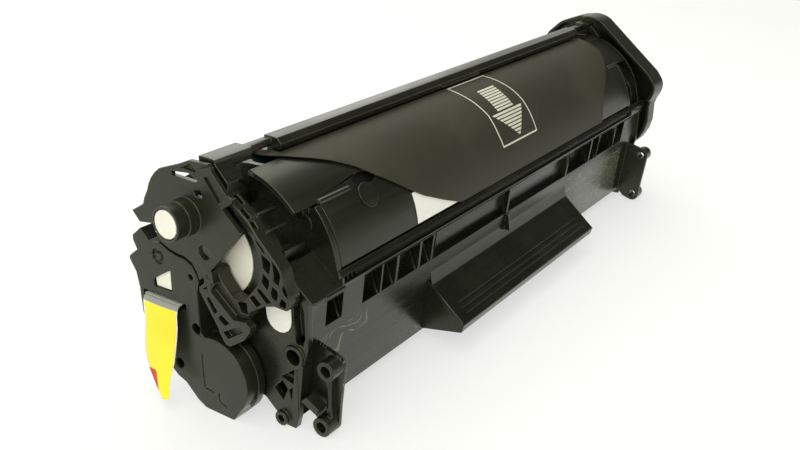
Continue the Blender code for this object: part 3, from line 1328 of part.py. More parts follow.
def make_lower_cover(finishes):
    """The left end cover of the hopper: a shallow cap with the seal slot and a window."""
    outline = lower_cover_outline()
    cover = prisms("left_cover_lower", [(outline, -COVER_OUT, -WALL_OUT - GAP)], finishes["cover"])
    pocket = inset_outline(outline, SHELL_WALL)
    cut(cover, [(pocket, -COVER_IN, -WALL_OUT + 0.0010)])
    through = (-COVER_OUT - 0.0010, -WALL_OUT + 0.0010)
    window = [(0.0229, 0.0457), (0.0138, 0.0513), (0.0141, 0.0427), (0.0232, 0.0427)]
    slot = rectangle(SEAL_FRONT - 0.0022, SEAL_REAR + 0.0017, SEAL_HEIGHT - 0.0016, SEAL_HEIGHT + 0.0009)
    face = (-COVER_OUT - 0.0010, -COVER_IN + 0.0005)
    small = [(circle((0.0038, 0.0514), 0.0012, 12), *face), (circle((0.0034, 0.0316), 0.0021, 16), *face), (circle((0.0136, 0.0144), 0.0021, 16), *face)]
    cut(cover, [(window, *through), (slot, *through)] + small)
    ring_centre = (0.0193, 0.0552)
    cut(cover, [(ring_segment(ring_centre, 0.0016, 0.0030), -COVER_OUT - 0.0010, -COVER_OUT + 0.0009)])
    return smooth(cover)


def make_end_cap(finishes):
    """The white round cap pressed into the left end wall, which holds the shutter's pin."""
    outer = -WALL_OUT
    flange = outer + END_CAP_WALL
    plug = -WALL_IN + 0.0006
    plug_radius = END_CAP_RADIUS - 0.0018 - GAP
    profile = [
        (outer, 0.0),
        (outer, END_CAP_RADIUS),
        (flange, END_CAP_RADIUS),
        (flange, plug_radius),
        (plug, plug_radius),
        (plug, plug_radius - 0.0014),
        (flange, plug_radius - 0.0014),
        (flange, 0.0),
    ]
    cap = turned("end_cap", END_CAP_AXIS, profile, finishes["white"], 36)
    weld(cap, [(circle(SHUTTER_AXIS, PIN_RADIUS * 2.2, 20), flange - 0.0005, plug)])
    return cut(cap, [(circle(SHUTTER_AXIS, PIN_RADIUS + GAP, 16), outer - 0.0010, plug + 0.0010)])


def right_cover_outline():
    """The outline of the large right end cover."""
    return [
        (0.0304, 0.0700),
        (0.0243, 0.0785),
        (0.0180, 0.0872),
        (0.0110, 0.0936),
        (0.0000, 0.0976),
        (-0.0080, 0.0989),
        (-0.0140, 0.0974),
        *RIGHT_HOOD,
        (-0.0452, 0.0530),
        (-0.0452, 0.0440),
        (-0.0438, 0.0385),
        (-0.0405, 0.0325),
        (-0.0360, 0.0290),
        (-0.0350, 0.0050),
        (-0.0330, 0.0),
        (0.0140, 0.0),
        (0.0179, 0.0060),
        (0.0270, 0.0190),
        (0.0311, 0.0300),
        (0.0325, 0.0464),
        (COVER_REAR, 0.0504),
        (0.0346, 0.0540),
    ]


def make_right_cover(finishes):
    """The right end cover, a deep cap whose front rim stands over the well."""
    outline = right_cover_outline()
    cover = prisms("right_cover", [(outline, WALL_OUT + GAP, COVER_OUT)], finishes["cover"])
    cut(cover, [(inset_outline(outline, SHELL_WALL), WALL_OUT - 0.0010, COVER_IN)])
    rim = [(-0.0030, 0.0981), (-0.0080, 0.0989), (-0.0140, 0.0974), *RIGHT_HOOD]
    hood = strip(rim, SHELL_WALL)
    weld(cover, [(hood, WALL_OUT - HOOD_REACH, WALL_OUT + 0.0020)])
    boss_end = COVER_OUT + BOSS_HEIGHT
    weld(cover, [(circle(DRUM_AXIS, BOSS_RADIUS, 36), COVER_IN, boss_end)])
    cut(cover, [(circle(DRUM_AXIS, BOSS_DISC_RADIUS, 32), COVER_IN - 0.0010, boss_end + 0.0010)])
    return smooth(cover)


# Film, sheet and springs


def sheet_edges(angle):
    """The left and right ends of the light-shield sheet at an angle on the curve."""
    left = between(SHEET_LEFT_EDGE, angle)
    right = between(SHEET_RIGHT_EDGE, angle)
    return left, right


def make_cover_sheet(finishes):
    """The black sheet that lies over the curved wall, from under the bar down to the rail."""
    builder = bmesh.new()
    rows = 18
    columns = 6
    inner = CURVE_RADIUS + LABEL_GAP + LABEL + GAP
    layers = []
    for radius in (inner, inner + FILM):
        grid = []
        for row in range(rows + 1):
            angle = SHEET_TOP_ANGLE + (CURVE_FOOT_ANGLE - SHEET_TOP_ANGLE) * row / rows
            left, right = sheet_edges(angle)
            y, z = on_circle(SHUTTER_AXIS, radius, angle)
            grid.append([builder.verts.new((left + (right - left) * i / columns, y, z)) for i in range(columns + 1)])
        layers.append(grid)
    for grid in layers:
        for row in range(rows):
            for i in range(columns):
                builder.faces.new([grid[row][i], grid[row][i + 1], grid[row + 1][i + 1], grid[row + 1][i]])
    low, high = layers
    for row in range(rows):
        for i in (0, columns):
            builder.faces.new([low[row][i], low[row + 1][i], high[row + 1][i], high[row][i]])
    for i in range(columns):
        for row in (0, rows):
            builder.faces.new([low[row][i], low[row][i + 1], high[row][i + 1], high[row][i]])
    return smooth(add_mesh("cover_sheet", builder, finishes["sheet"]))


def make_labels(finishes):
    """The blank white label on the left end wall, and the one on the curved wall under the sheet."""
    tongue = [(-0.0340, 0.0480), *arc((-0.0285, 0.0425), 0.0055, 180.0, 360.0, 8), (-0.0230, 0.0480)]
    prisms("end_label", [(tongue, -WALL_OUT - GAP - LABEL, -WALL_OUT - GAP)], finishes["label"])
    low = CURVE_RADIUS + LABEL_GAP
    first, last = PANEL_LABEL_ANGLES
    patch = arc(SHUTTER_AXIS, low + LABEL, first, last, 6) + arc(SHUTTER_AXIS, low, last, first, 6)
    prisms("panel_label", [(patch, *PANEL_LABEL_ENDS)], finishes["label"])


def make_springs(finishes):
    """The coil between the left covers, the contact coil in the left well and the shutter's spring."""
    middle = -(WALL_OUT + COVER_OUT) / 2
    up = (0.0, 0.0, 1.0)
    coil("unit_spring", (middle, 0.0218, 0.0614), up, 0.0054, 0.0016, 0.0003, 5, finishes["steel"])
    coil("contact_spring", (-WALL_IN + 0.0032, -0.0278, 0.0092), up, 0.0094, 0.0019, 0.0003, 7, finishes["steel"])
    start = (GEAR_OUT + 0.0012, *SHUTTER_AXIS)
    length = FAR_ARM_SETBACK - 0.0012 - GAP
    wire = 0.0003
    radius = PIN_RADIUS + GAP + wire
    coil("shutter_spring", start, (1.0, 0.0, 0.0), length, radius, wire, 3.5, finishes["steel"])


def centre_on_base():
    """Moves everything along Y so that the origin is under the middle of the cartridge's depth."""
    middle = (HANDLE_TIP[0] + COVER_REAR) / 2
    for obj in bpy.data.objects:
        obj.location.y -= middle


def main():
    """Builds every piece of the cartridge."""
    clear_scene()
    finishes = make_finishes()
    make_main_housing(finishes)
    make_hopper_deck(finishes)
    make_seal(finishes)
    make_pull_tab(finishes)
    make_agitator(finishes)
    make_developer_frame(finishes)
    make_developer_roller(finishes)
    make_doctor_blade(finishes)
    make_charge_roller(finishes)
    drum_phase = make_drum(finishes)
    make_gears(finishes, drum_phase)
    make_waste_bin(finishes)
    make_cleaning_blade(finishes)
    make_shutter(finishes)
    make_shutter_pins(finishes)
    make_upper_cover(finishes)
    make_lower_cover(finishes)
    make_end_cap(finishes)
    make_right_cover(finishes)
    make_cover_sheet(finishes)
    make_labels(finishes)
    make_springs(finishes)
    centre_on_base()


main()
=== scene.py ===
"""The looks of a toner cartridge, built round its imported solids.

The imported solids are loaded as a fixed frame. Each visible casting is copied with its
moulded edges rounded and stands for its solid; small marks, ribs and sheets that the
solids leave out are added, every surface gets a procedural finish, and a plain studio
with the photograph's viewpoint goes round the whole.

A length written with MM is in metres once multiplied. The tables of points, and the
places and reaches without it beside them, are in millimetres and become metres where a
mesh takes them. The studio's lengths are in metres. The cartridge lies along X with its
handle towards -Y, so a side view's points are (Y, Z).
"""

from __future__ import annotations

import logging
import math
from collections.abc import Iterable, Sequence
from dataclasses import dataclass, field
from enum import Enum
from functools import partial, reduce

import bmesh
import bpy
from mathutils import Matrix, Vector
from mathutils.bvhtree import BVHTree
from mathutils.kdtree import KDTree

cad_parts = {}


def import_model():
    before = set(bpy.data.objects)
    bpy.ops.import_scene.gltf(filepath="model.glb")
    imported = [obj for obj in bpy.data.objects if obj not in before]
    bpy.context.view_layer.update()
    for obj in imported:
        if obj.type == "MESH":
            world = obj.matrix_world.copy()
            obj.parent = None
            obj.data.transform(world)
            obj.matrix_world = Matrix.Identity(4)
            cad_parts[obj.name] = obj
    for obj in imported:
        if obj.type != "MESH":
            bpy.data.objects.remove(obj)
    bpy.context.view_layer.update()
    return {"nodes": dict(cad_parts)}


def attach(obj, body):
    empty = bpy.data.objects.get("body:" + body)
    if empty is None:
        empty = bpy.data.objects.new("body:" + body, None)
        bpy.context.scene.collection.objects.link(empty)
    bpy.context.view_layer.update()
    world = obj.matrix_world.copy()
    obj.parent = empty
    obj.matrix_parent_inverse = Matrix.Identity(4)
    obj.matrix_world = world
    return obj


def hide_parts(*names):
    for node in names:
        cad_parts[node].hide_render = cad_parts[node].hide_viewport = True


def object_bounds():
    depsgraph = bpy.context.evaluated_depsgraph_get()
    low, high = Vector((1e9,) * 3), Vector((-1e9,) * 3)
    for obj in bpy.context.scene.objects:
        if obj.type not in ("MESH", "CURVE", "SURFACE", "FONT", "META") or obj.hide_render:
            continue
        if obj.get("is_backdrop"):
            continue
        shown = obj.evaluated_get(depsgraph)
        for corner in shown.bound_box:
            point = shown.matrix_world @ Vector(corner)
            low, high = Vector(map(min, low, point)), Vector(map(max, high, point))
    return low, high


LOG = logging.getLogger("toner_cartridge")

MM = 0.001
ROW_Y = 9.65 * MM
PIVOT = (ROW_Y - 5.0 * MM, 54.0 * MM)
CURVE_RADIUS = 35.6 * MM
MERGE_DISTANCE = 0.002 * MM
CUT_DISTANCE = 1e-7
FLAT_ANGLE = math.radians(0.6)
FACET = math.radians(3.0)

Colour = tuple[float, float, float]
Place = tuple[float, float, float]
Point = tuple[float, float]


class Slot(Enum):
    """The material slots of the record."""

    HOUSING = "housing"
    SHUTTER = "shutter"
    COVER = "cover"
    WHITE = "white"
    GEAR = "gear"
    DRUM = "drum"
    STEEL = "steel"
    SLEEVE = "sleeve"
    RUBBER = "rubber"
    BLADE = "blade"
    FILM = "film"
    TAB = "tab"
    SHEET = "sheet"
    LABEL = "label"


class Body(Enum):
    """The bodies that pieces ride on."""

    ROOT = "root"
    SHUTTER = "shutter"
    DRUM = "drum"
    DEVELOPER = "developer_roller"
    AGITATOR = "agitator"
    IDLER = "idler"


class Graph:
    """A short way to add and link the shader nodes of one tree."""

    def __init__(self, tree: bpy.types.NodeTree) -> None:
        """Wraps a node tree."""
        self.tree = tree

    def link(self, value: bpy.types.NodeSocket, socket: bpy.types.NodeSocket) -> None:
        """Links an output to an input."""
        self.tree.links.new(value, socket)

    def node(self, kind: str, inputs: dict | None = None, **settings: object) -> bpy.types.Node:
        """Adds a node.

        Args:
            kind: The node's type name without its ShaderNode prefix.
            inputs: Input sockets by name or number, each a value or a socket to link from.
            settings: Properties of the node.

        Returns:
            The new node.
        """
        node = self.tree.nodes.new("ShaderNode" + kind)
        for name, value in settings.items():
            setattr(node, name, value)
        for name, value in (inputs or {}).items():
            if isinstance(value, bpy.types.NodeSocket):
                self.link(value, node.inputs[name])
            else:
                node.inputs[name].default_value = value
        return node

    def maths(self, operation: str, *values: object) -> bpy.types.NodeSocket:
        """Adds a Math node and returns its output."""
        return self.node("Math", dict(enumerate(values)), operation=operation).outputs[0]

    def product(self, *values: object) -> bpy.types.NodeSocket:
        """Adds the Math nodes that multiply the values and returns their output."""
        return reduce(partial(self.maths, "MULTIPLY"), values)

    def ramp(self, value: bpy.types.NodeSocket, low: float, high: float) -> bpy.types.NodeSocket:
        """Adds a smooth step of a value between two limits.

        Args:
            value: The value.
            low: Where the step is 0.
            high: Where it is 1.

        Returns:
            The step's output.
        """
        step = self.node("MapRange", {"Value": value, "From Min": low, "From Max": high})
        step.interpolation_type = "SMOOTHSTEP"
        return step.outputs["Result"]

    def blend(self, share: object, first: object, second: object) -> bpy.types.NodeSocket:
        """Adds a colour Mix node.

        Args:
            share: The second colour's share.
            first: The first colour, or a socket that gives it.
            second: The second colour, or a socket that gives it.

        Returns:
            The node's output.
        """
        tones = [(*tone, 1.0) if isinstance(tone, tuple) else tone for tone in (first, second)]
        return self.node("Mix", {0: share, 6: tones[0], 7: tones[1]}, data_type="RGBA").outputs[2]

    def place(self, name: str = "Object") -> bpy.types.NodeSocket:
        """Adds the coordinates that a pattern follows and returns their output."""
        return self.node("TexCoord").outputs[name]

    def noise(self, scale: object, detail: float = 2.0, **inputs: object) -> bpy.types.NodeSocket:
        """Adds a noise pattern.

        Args:
            scale: The pattern's scale, a number or a socket.
            detail: How many finer layers it has.
            inputs: Further input sockets by name, such as Vector or Roughness.

        Returns:
            The pattern's value.
        """
        if "Vector" not in inputs:
            inputs["Vector"] = self.place()
        return self.node("TexNoise", {"Scale": scale, "Detail": detail, **inputs}).outputs[0]


@dataclass
class Effects:
    """The surface effects that several finishes share, each a node group."""

    pit_detail: float = 3.0
    cloud_detail: float = 6.0
    cloud_roughness: float = 0.62
    cloud_edges: Point = (0.42, 0.72)
    speck_limit: float = 0.7
    line_stretch: Place = (0.03, 1.0, 1.0)
    line_detail: float = 4.0
    line_edges: Point = (0.35, 0.75)

    def __post_init__(self) -> None:
        """Builds every group once."""
        self.grain = self._grain()
        self.rubbed = self._rubbed()
        self.specks = self._specks()
        self.drawn = self._drawn()

    @staticmethod
    def _group(name: str, inputs: dict[str, str], outputs: dict[str, str]) -> tuple:
        """Starts a node group.

        Args:
            name: The group's name.
            inputs: Socket types of the inputs by name.
            outputs: Socket types of the outputs by name.

        Returns:
            A graph on its tree, the outputs of its input node and the inputs of its output node.
        """
        tree = bpy.data.node_groups.new(name, "ShaderNodeTree")
        for way, sockets in (("INPUT", inputs), ("OUTPUT", outputs)):
            for label, kind in sockets.items():
                tree.interface.new_socket(name=label, in_out=way, socket_type="NodeSocket" + kind)
        start, end = tree.nodes.new("NodeGroupInput"), tree.nodes.new("NodeGroupOutput")
        return Graph(tree), start.outputs, end.inputs

    def _grain(self) -> bpy.types.NodeTree:
        """The fine spark-eroded grain of a moulding tool.

        Returns:
            A group that gives a height from a scale.
        """
        graph, given, wanted = self._group("mould_grain", {"Scale": "Float"}, {"Height": "Float"})
        soft = graph.noise(given["Scale"], self.pit_detail)
        pits = graph.node("TexVoronoi", {"Vector": graph.place(), "Scale": given["Scale"]})
        graph.link(graph.maths("ADD", soft, pits.outputs["Distance"]), wanted["Height"])
        return graph.tree

    def _rubbed(self) -> bpy.types.NodeTree:
        """The cloudy tone that handling and toner dust leave on plastic.

        Returns:
            A group that gives a colour and a mask from two colours, a scale and an amount.
        """
        inputs = {"Base": "Color", "Rubbed": "Color", "Scale": "Float", "Amount": "Float"}
        graph, given, wanted = self._group("rubbed_tone", inputs, {"Color": "Color", "Mask": "Float"})
        cloud = graph.noise(given["Scale"], self.cloud_detail, Roughness=self.cloud_roughness)
        mask = graph.product(graph.ramp(cloud, *self.cloud_edges), given["Amount"])
        graph.link(graph.blend(mask, given["Base"], given["Rubbed"]), wanted["Color"])
        graph.link(mask, wanted["Mask"])
        return graph.tree

    def _specks(self) -> bpy.types.NodeTree:
        """Small scattered specks of dust.

        Returns:
            A group that gives a mask from a scale and a speck size.
        """
        inputs = {"Scale": "Float", "Size": "Float"}
        graph, given, wanted = self._group("dust_specks", inputs, {"Mask": "Float"})
        cells = graph.node("TexVoronoi", {"Vector": graph.place(), "Scale": given["Scale"]})
        near = graph.maths("LESS_THAN", cells.outputs["Distance"], given["Size"])
        chance = graph.node("SeparateColor", {0: cells.outputs["Color"]}).outputs[0]
        graph.link(graph.product(near, graph.maths("GREATER_THAN", chance, self.speck_limit)), wanted["Mask"])
        return graph.tree

    def _drawn(self) -> bpy.types.NodeTree:
        """Faint lines along the part's length, as the melt and the tool leave them.

        Returns:
            A group that gives a mask from a scale.
        """
        graph, given, wanted = self._group("drawn_lines", {"Scale": "Float"}, {"Mask": "Float"})
        stretched = graph.node("Mapping", {"Vector": graph.place(), "Scale": self.line_stretch})
        lines = graph.noise(given["Scale"], self.line_detail, Vector=stretched.outputs[0])
        graph.link(graph.ramp(lines, *self.line_edges), wanted["Mask"])
        return graph.tree


@dataclass(frozen=True)
class Moulded:
    """A moulded plastic.

    The tone is clouded by handling, and a fine grain and faint drawn lines break its gloss.
    """

    name: str
    base: Colour
    rubbed: Colour
    roughness: float
    rub_scale: float = 34.0
    rub_amount: float = 0.55
    rub_dulls: float = 0.16
    unrubbed_gloss: float = 0.05
    grain_scale: float = 2600.0
    grain_depth: float = 0.010 * MM
    grain_strength: float = 0.8
    speck_scale: float = 420.0
    speck_size: float = 0.05
    speck_tone: Colour = (0.12, 0.12, 0.09)
    shine: float = 0.5
    metal: float = 0.0
    line_share: float = 0.10
    lines_per_cloud: float = 12.0
    gloss_tint: Colour = (1.0, 1.0, 1.0)

    def build(self, effects: Effects) -> bpy.types.Material:
        """Builds the finish's material.

        Args:
            effects: The shared node groups.

        Returns:
            The material.
        """
        material = bpy.data.materials.new(self.name)
        material.use_nodes = True
        graph = Graph(material.node_tree)
        shader = material.node_tree.nodes["Principled BSDF"].inputs
        shader["Metallic"].default_value = self.metal
        shader["Specular IOR Level"].default_value = self.shine
        shader["Specular Tint"].default_value = (*self.gloss_tint, 1.0)
        tones = {"Base": (*self.base, 1.0), "Rubbed": (*self.rubbed, 1.0)}
        rub = self._group(graph, effects.rubbed, Scale=self.rub_scale, Amount=self.rub_amount, **tones)
        specks = self._group(graph, effects.specks, Scale=self.speck_scale, Size=self.speck_size)
        lines = self._group(graph, effects.drawn, Scale=self.rub_scale * self.lines_per_cloud)
        tone = self.marked(graph, graph.blend(specks[0], rub["Color"], self.speck_tone))
        dull = graph.maths("MULTIPLY_ADD", rub["Mask"], self.rub_dulls, self.roughness - self.unrubbed_gloss)
        dull = graph.maths("MULTIPLY_ADD", lines[0], self.line_share, dull)
        grain = self._group(graph, effects.grain, Scale=self.grain_scale)
        relief = {"Height": grain[0], "Distance": self.grain_depth, "Strength": self.grain_strength}
        bump = graph.node("Bump", relief).outputs[0]
        for socket, value in (("Base Color", tone), ("Roughness", dull), ("Normal", bump)):
            graph.link(value, shader[socket])
        return material

    @staticmethod
    def _group(graph: Graph, tree: bpy.types.NodeTree, **values: object) -> bpy.types.bpy_prop_collection:
        """Places a group with its own values and returns its outputs."""
        return graph.node("Group", values, node_tree=tree).outputs

    def marked(self, graph: Graph, tone: bpy.types.NodeSocket) -> bpy.types.NodeSocket:
        """Adds marks of the finish's own, and any painted sheen, to its tone; a plain moulding has none."""
        return tone

    def worn_and_highlit(self, lift: float = 1.7, smoother: float = 0.1, smoothest: float = 0.2) -> Moulded:
        """The finish's look along its rounded edges: paler and glossier, partly wear and partly a painted highlight
        where the rounding catches light.

        Args:
            lift: How many times as pale it is there.
            smoother: How much less rough it is there.
            smoothest: The least roughness that is left.

        Returns:
            The finish of the edges.
        """
        paler, rubbed = (tuple(min(1.0, lift * part) for part in tone) for tone in (self.base, self.rubbed))
        roughness = max(smoothest, self.roughness - smoother)
        return Moulded(self.name + "_edge", paler, rubbed, roughness, gloss_tint=self.gloss_tint)


@dataclass(frozen=True)
class FlowMarked(Moulded):
    """A moulding whose front wall shows the lines that the melt drew as it filled the tool.

    A painted sheen, standing in for reflected light, makes the wall paler beyond the handle.
    """

    line_scale: float = 30.0
    line_detail: float = 1.5
    line_count: float = 38.0
    line_width: float = 0.20
    line_tone: Colour = (0.160, 0.168, 0.120)
    torn_scale: float = 240.0
    torn_edges: Point = (0.36, 0.52)
    patch_scale: float = 14.0
    patch_edges: Point = (0.38, 0.50)
    # Painted sheen: the paler tone that the wall takes beyond the handle, standing in for reflected light.
    painted_sheen_tone: Colour = (0.066, 0.070, 0.050)
    painted_sheen_full: float = 80.0 * MM
    handle_middle: float = -5.0 * MM
    handle_half: float = 62.0 * MM
    handle_fade: float = 3.0 * MM
    wall_half: float = 130.0 * MM
    wall_front: float = -34.0 * MM + ROW_Y
    wall_foot: float = 6.0 * MM
    wall_top: float = 35.0 * MM
    wall_fade: float = 4.0 * MM

    def marked(self, graph: Graph, tone: bpy.types.NodeSocket) -> bpy.types.NodeSocket:
        """Draws the flow lines on the front wall beside the handle, and the painted sheen beyond it.

        Args:
            graph: The material's graph.
            tone: The colour so far.

        Returns:
            The colour with the lines and the painted sheen.
        """
        place = graph.place()
        field_noise = graph.noise(self.line_scale, self.line_detail, Vector=place)
        rings = graph.maths("FRACT", graph.product(field_noise, self.line_count))
        torn = graph.noise(self.torn_scale, Vector=place)
        patch = graph.noise(self.patch_scale, Vector=place)
        along, depth, height = graph.node("SeparateXYZ", {0: place}).outputs
        aside = graph.maths("ABSOLUTE", graph.maths("SUBTRACT", along, self.handle_middle))
        wall = graph.product(
            graph.maths("LESS_THAN", depth, self.wall_front), graph.maths("LESS_THAN", aside, self.wall_half),
            graph.ramp(height, self.wall_top, self.wall_top - self.wall_fade),
        )
        # Painted sheen: the wall grows paler beyond the handle, standing in for reflected light.
        painted_sheen = graph.product(wall, graph.ramp(along, self.handle_half, self.painted_sheen_full))
        line = graph.product(
            graph.maths("LESS_THAN", rings, self.line_width), graph.ramp(torn, *self.torn_edges),
            graph.ramp(patch, *self.patch_edges), wall,
            graph.ramp(aside, self.handle_half, self.handle_half + self.handle_fade),
            graph.ramp(height, self.wall_foot, self.wall_foot + self.wall_fade),
        )
        return graph.blend(line, graph.blend(painted_sheen, tone, self.painted_sheen_tone), self.line_tone)


WARM_GLOSS: Colour = (0.93, 0.96, 0.72)

FINISHES: dict[Slot, Moulded] = {
    Slot.HOUSING: FlowMarked("housing_plastic", (0.0070, 0.0076, 0.0044), (0.0170, 0.0180, 0.0100), 0.27,
                             gloss_tint=WARM_GLOSS),
    Slot.SHUTTER: Moulded("shutter_plastic", (0.0085, 0.0086, 0.0055), (0.0180, 0.0185, 0.0110), 0.30,
                         gloss_tint=WARM_GLOSS, grain_depth=0.004 * MM),
    Slot.COVER: Moulded("cover_plastic", (0.0085, 0.0095, 0.0052), (0.0210, 0.0225, 0.0120), 0.34,
                       gloss_tint=WARM_GLOSS),
    Slot.WHITE: Moulded("cream_plastic", (0.86, 0.85, 0.72), (0.74, 0.73, 0.60), 0.42, rub_amount=0.35,
                        speck_tone=(0.45, 0.45, 0.40), grain_depth=0.004 * MM),
    Slot.GEAR: Moulded("acetal", (0.78, 0.77, 0.70), (0.62, 0.60, 0.52), 0.40, speck_tone=(0.2, 0.2, 0.18)),
    # The drum's tone is its own dark teal, darkened further as painted shade for the gap where it shows at the near
    # end.
    Slot.DRUM: Moulded("photoconductor", (0.001, 0.0085, 0.0080), (0.002, 0.012, 0.011), 0.16, rub_amount=0.25,
                       grain_depth=0.001 * MM, shine=0.7),
    Slot.STEEL: Moulded("steel", (0.56, 0.56, 0.54), (0.42, 0.41, 0.38), 0.28, metal=1.0,
                        grain_depth=0.003 * MM, speck_tone=(0.3, 0.3, 0.3)),
    Slot.SLEEVE: Moulded("blasted_sleeve", (0.20, 0.20, 0.20), (0.27, 0.27, 0.26), 0.55, metal=0.9,
                         grain_depth=0.02 * MM),
    Slot.RUBBER: Moulded("rubber", (0.022, 0.022, 0.022), (0.05, 0.05, 0.048), 0.75, shine=0.3),
    Slot.BLADE: Moulded("urethane", (0.50, 0.33, 0.12), (0.58, 0.42, 0.20), 0.42, speck_tone=(0.2, 0.15, 0.1)),
    Slot.FILM: Moulded("milky_film", (0.42, 0.43, 0.38), (0.52, 0.53, 0.48), 0.28, grain_depth=0.002 * MM),
    Slot.TAB: Moulded("yellow_tab", (0.93, 0.83, 0.022), (0.88, 0.70, 0.015), 0.45, rub_amount=0.5,
                      rub_scale=60.0, speck_tone=(0.85, 0.60, 0.02), grain_depth=0.004 * MM),
    Slot.SHEET: Moulded("dull_film", (0.0260, 0.0255, 0.0170), (0.044, 0.043, 0.030), 0.62, rub_scale=22.0,
                        rub_amount=0.7, grain_scale=1900.0, grain_depth=0.02 * MM, speck_scale=700.0,
                        speck_tone=(0.07, 0.07, 0.05), line_share=0.0, shine=0.4,
                        gloss_tint=WARM_GLOSS),
    Slot.LABEL: Moulded("paper_label", (0.86, 0.86, 0.79), (0.78, 0.78, 0.70), 0.62, rub_amount=0.4,
                        grain_depth=0.008 * MM, speck_tone=(0.5, 0.5, 0.46)),
}
PRINT = Moulded("pale_print", (0.62, 0.62, 0.50), (0.50, 0.50, 0.40), 0.55, speck_tone=(0.3, 0.3, 0.25))
RED = Moulded("red_print", (0.62, 0.045, 0.02), (0.55, 0.08, 0.03), 0.5, speck_tone=(0.7, 0.2, 0.05))
CREAM = Moulded("tab_paper", (0.80, 0.79, 0.62), (0.70, 0.68, 0.50), 0.55, speck_tone=(0.5, 0.48, 0.36))
# Painted shade: a darker plastic for the floor of the hollow behind the button, where shade falls.
HOLLOW_SHADE = Moulded("hollow_painted_shade", (0.0035, 0.0038, 0.0024), (0.008, 0.008, 0.006), 0.5, shine=0.3)
DRIED = Moulded("fold_film", (0.30, 0.31, 0.27), (0.22, 0.23, 0.19), 0.36, speck_tone=(0.4, 0.4, 0.36))


@dataclass(frozen=True)
class EdgeRounding:
    """How far the edges of a moulding are rounded.

    Every sharp edge gets the same radius, less where the faces beside it are narrow.
    """

    width: float = 0.30 * MM
    segments: int = 2
    sharp: float = math.radians(28.0)
    share: float = 0.40
    least: float = 0.15
    across_share: float = 0.35
    spike_share: float = 0.4
    rounds: int = 5

    def mark(self, mesh: bmesh.types.BMesh) -> None:
        """Writes each edge's share of the width into the mesh's bevel weights.

        Args:
            mesh: The mesh to mark.
        """
        layer = mesh.edges.layers.float.new("bevel_weight_edge")
        for edge in mesh.edges:
            edge.smooth = True
            if len(edge.link_faces) != 2 or edge.calc_face_angle(0.0) < self.sharp:
                continue
            weight = min(1.0, self.share * self._room(edge) / self.width)
            if weight < self.least:
                edge.smooth = False
            else:
                edge[layer] = weight

    def _room(self, edge: bmesh.types.BMEdge) -> float:
        """The least breadth of the faces beside an edge, near its ends.

        Args:
            edge: The edge.

        Returns:
            The breadth in metres.
        """
        along = (edge.verts[1].co - edge.verts[0].co).normalized()
        faces = set(edge.link_faces)
        room = 1.0
        for vert in edge.verts:
            for other in vert.link_edges:
                if other is edge or not faces.intersection(other.link_faces):
                    continue
                across = (other.other_vert(vert).co - vert.co).cross(along).length
                if across > self.across_share * other.calc_length():
                    room = min(room, across)
        return room

    def apply(self, obj: bpy.types.Object, edge_slot: int) -> None:
        """Adds the modifiers that round the marked edges and even the shading.

        Args:
            obj: The piece.
            edge_slot: The number of the material that the rounded edges take.
        """
        bevel = obj.modifiers.new("edges", "BEVEL")
        bevel.limit_method = "WEIGHT"
        bevel.width = self.width
        bevel.segments = self.segments
        bevel.profile = 0.5
        bevel.use_clamp_overlap = False
        # The rounded edges take the paler edge material: wear and a painted highlight.
        bevel.material = edge_slot
        even = obj.modifiers.new("shading", "WEIGHTED_NORMAL")
        even.keep_sharp = True
        self.settle(obj)

    def settle(self, obj: bpy.types.Object) -> None:
        """Takes the rounding off the few edges where it would stand out as a spike.

        Args:
            obj: The piece, with its modifiers.
        """
        data = obj.data
        corners_by_place = KDTree(len(data.vertices))
        for vert in data.vertices:
            corners_by_place.insert(vert.co, vert.index)
        corners_by_place.balance()
        faces = [tuple(face.vertices) for face in data.polygons]
        skin = BVHTree.FromPolygons([vert.co for vert in data.vertices], faces)
        weights = data.attributes["bevel_weight_edge"].data
        for _ in range(self.rounds):
            bpy.context.view_layer.update()
            rounded = obj.evaluated_get(bpy.context.evaluated_depsgraph_get())
            mesh = rounded.to_mesh()
            spike = self.spike_share * self.width
            out = [skin.find_nearest(vert.co)[3] > spike for vert in mesh.vertices]
            roots = {corners_by_place.find(mesh.vertices[near].co)[1]
                     for edge in mesh.edges if out[edge.vertices[0]] != out[edge.vertices[1]]
                     for near in edge.vertices if not out[near]}
            rounded.to_mesh_clear()
            if not roots:
                return
            for edge in data.edges:
                if roots.intersection(edge.vertices):
                    weights[edge.index].value = 0.0
                    edge.use_edge_sharp = True
        LOG.warning("%s still has %d raised corners", obj.name, len(roots))


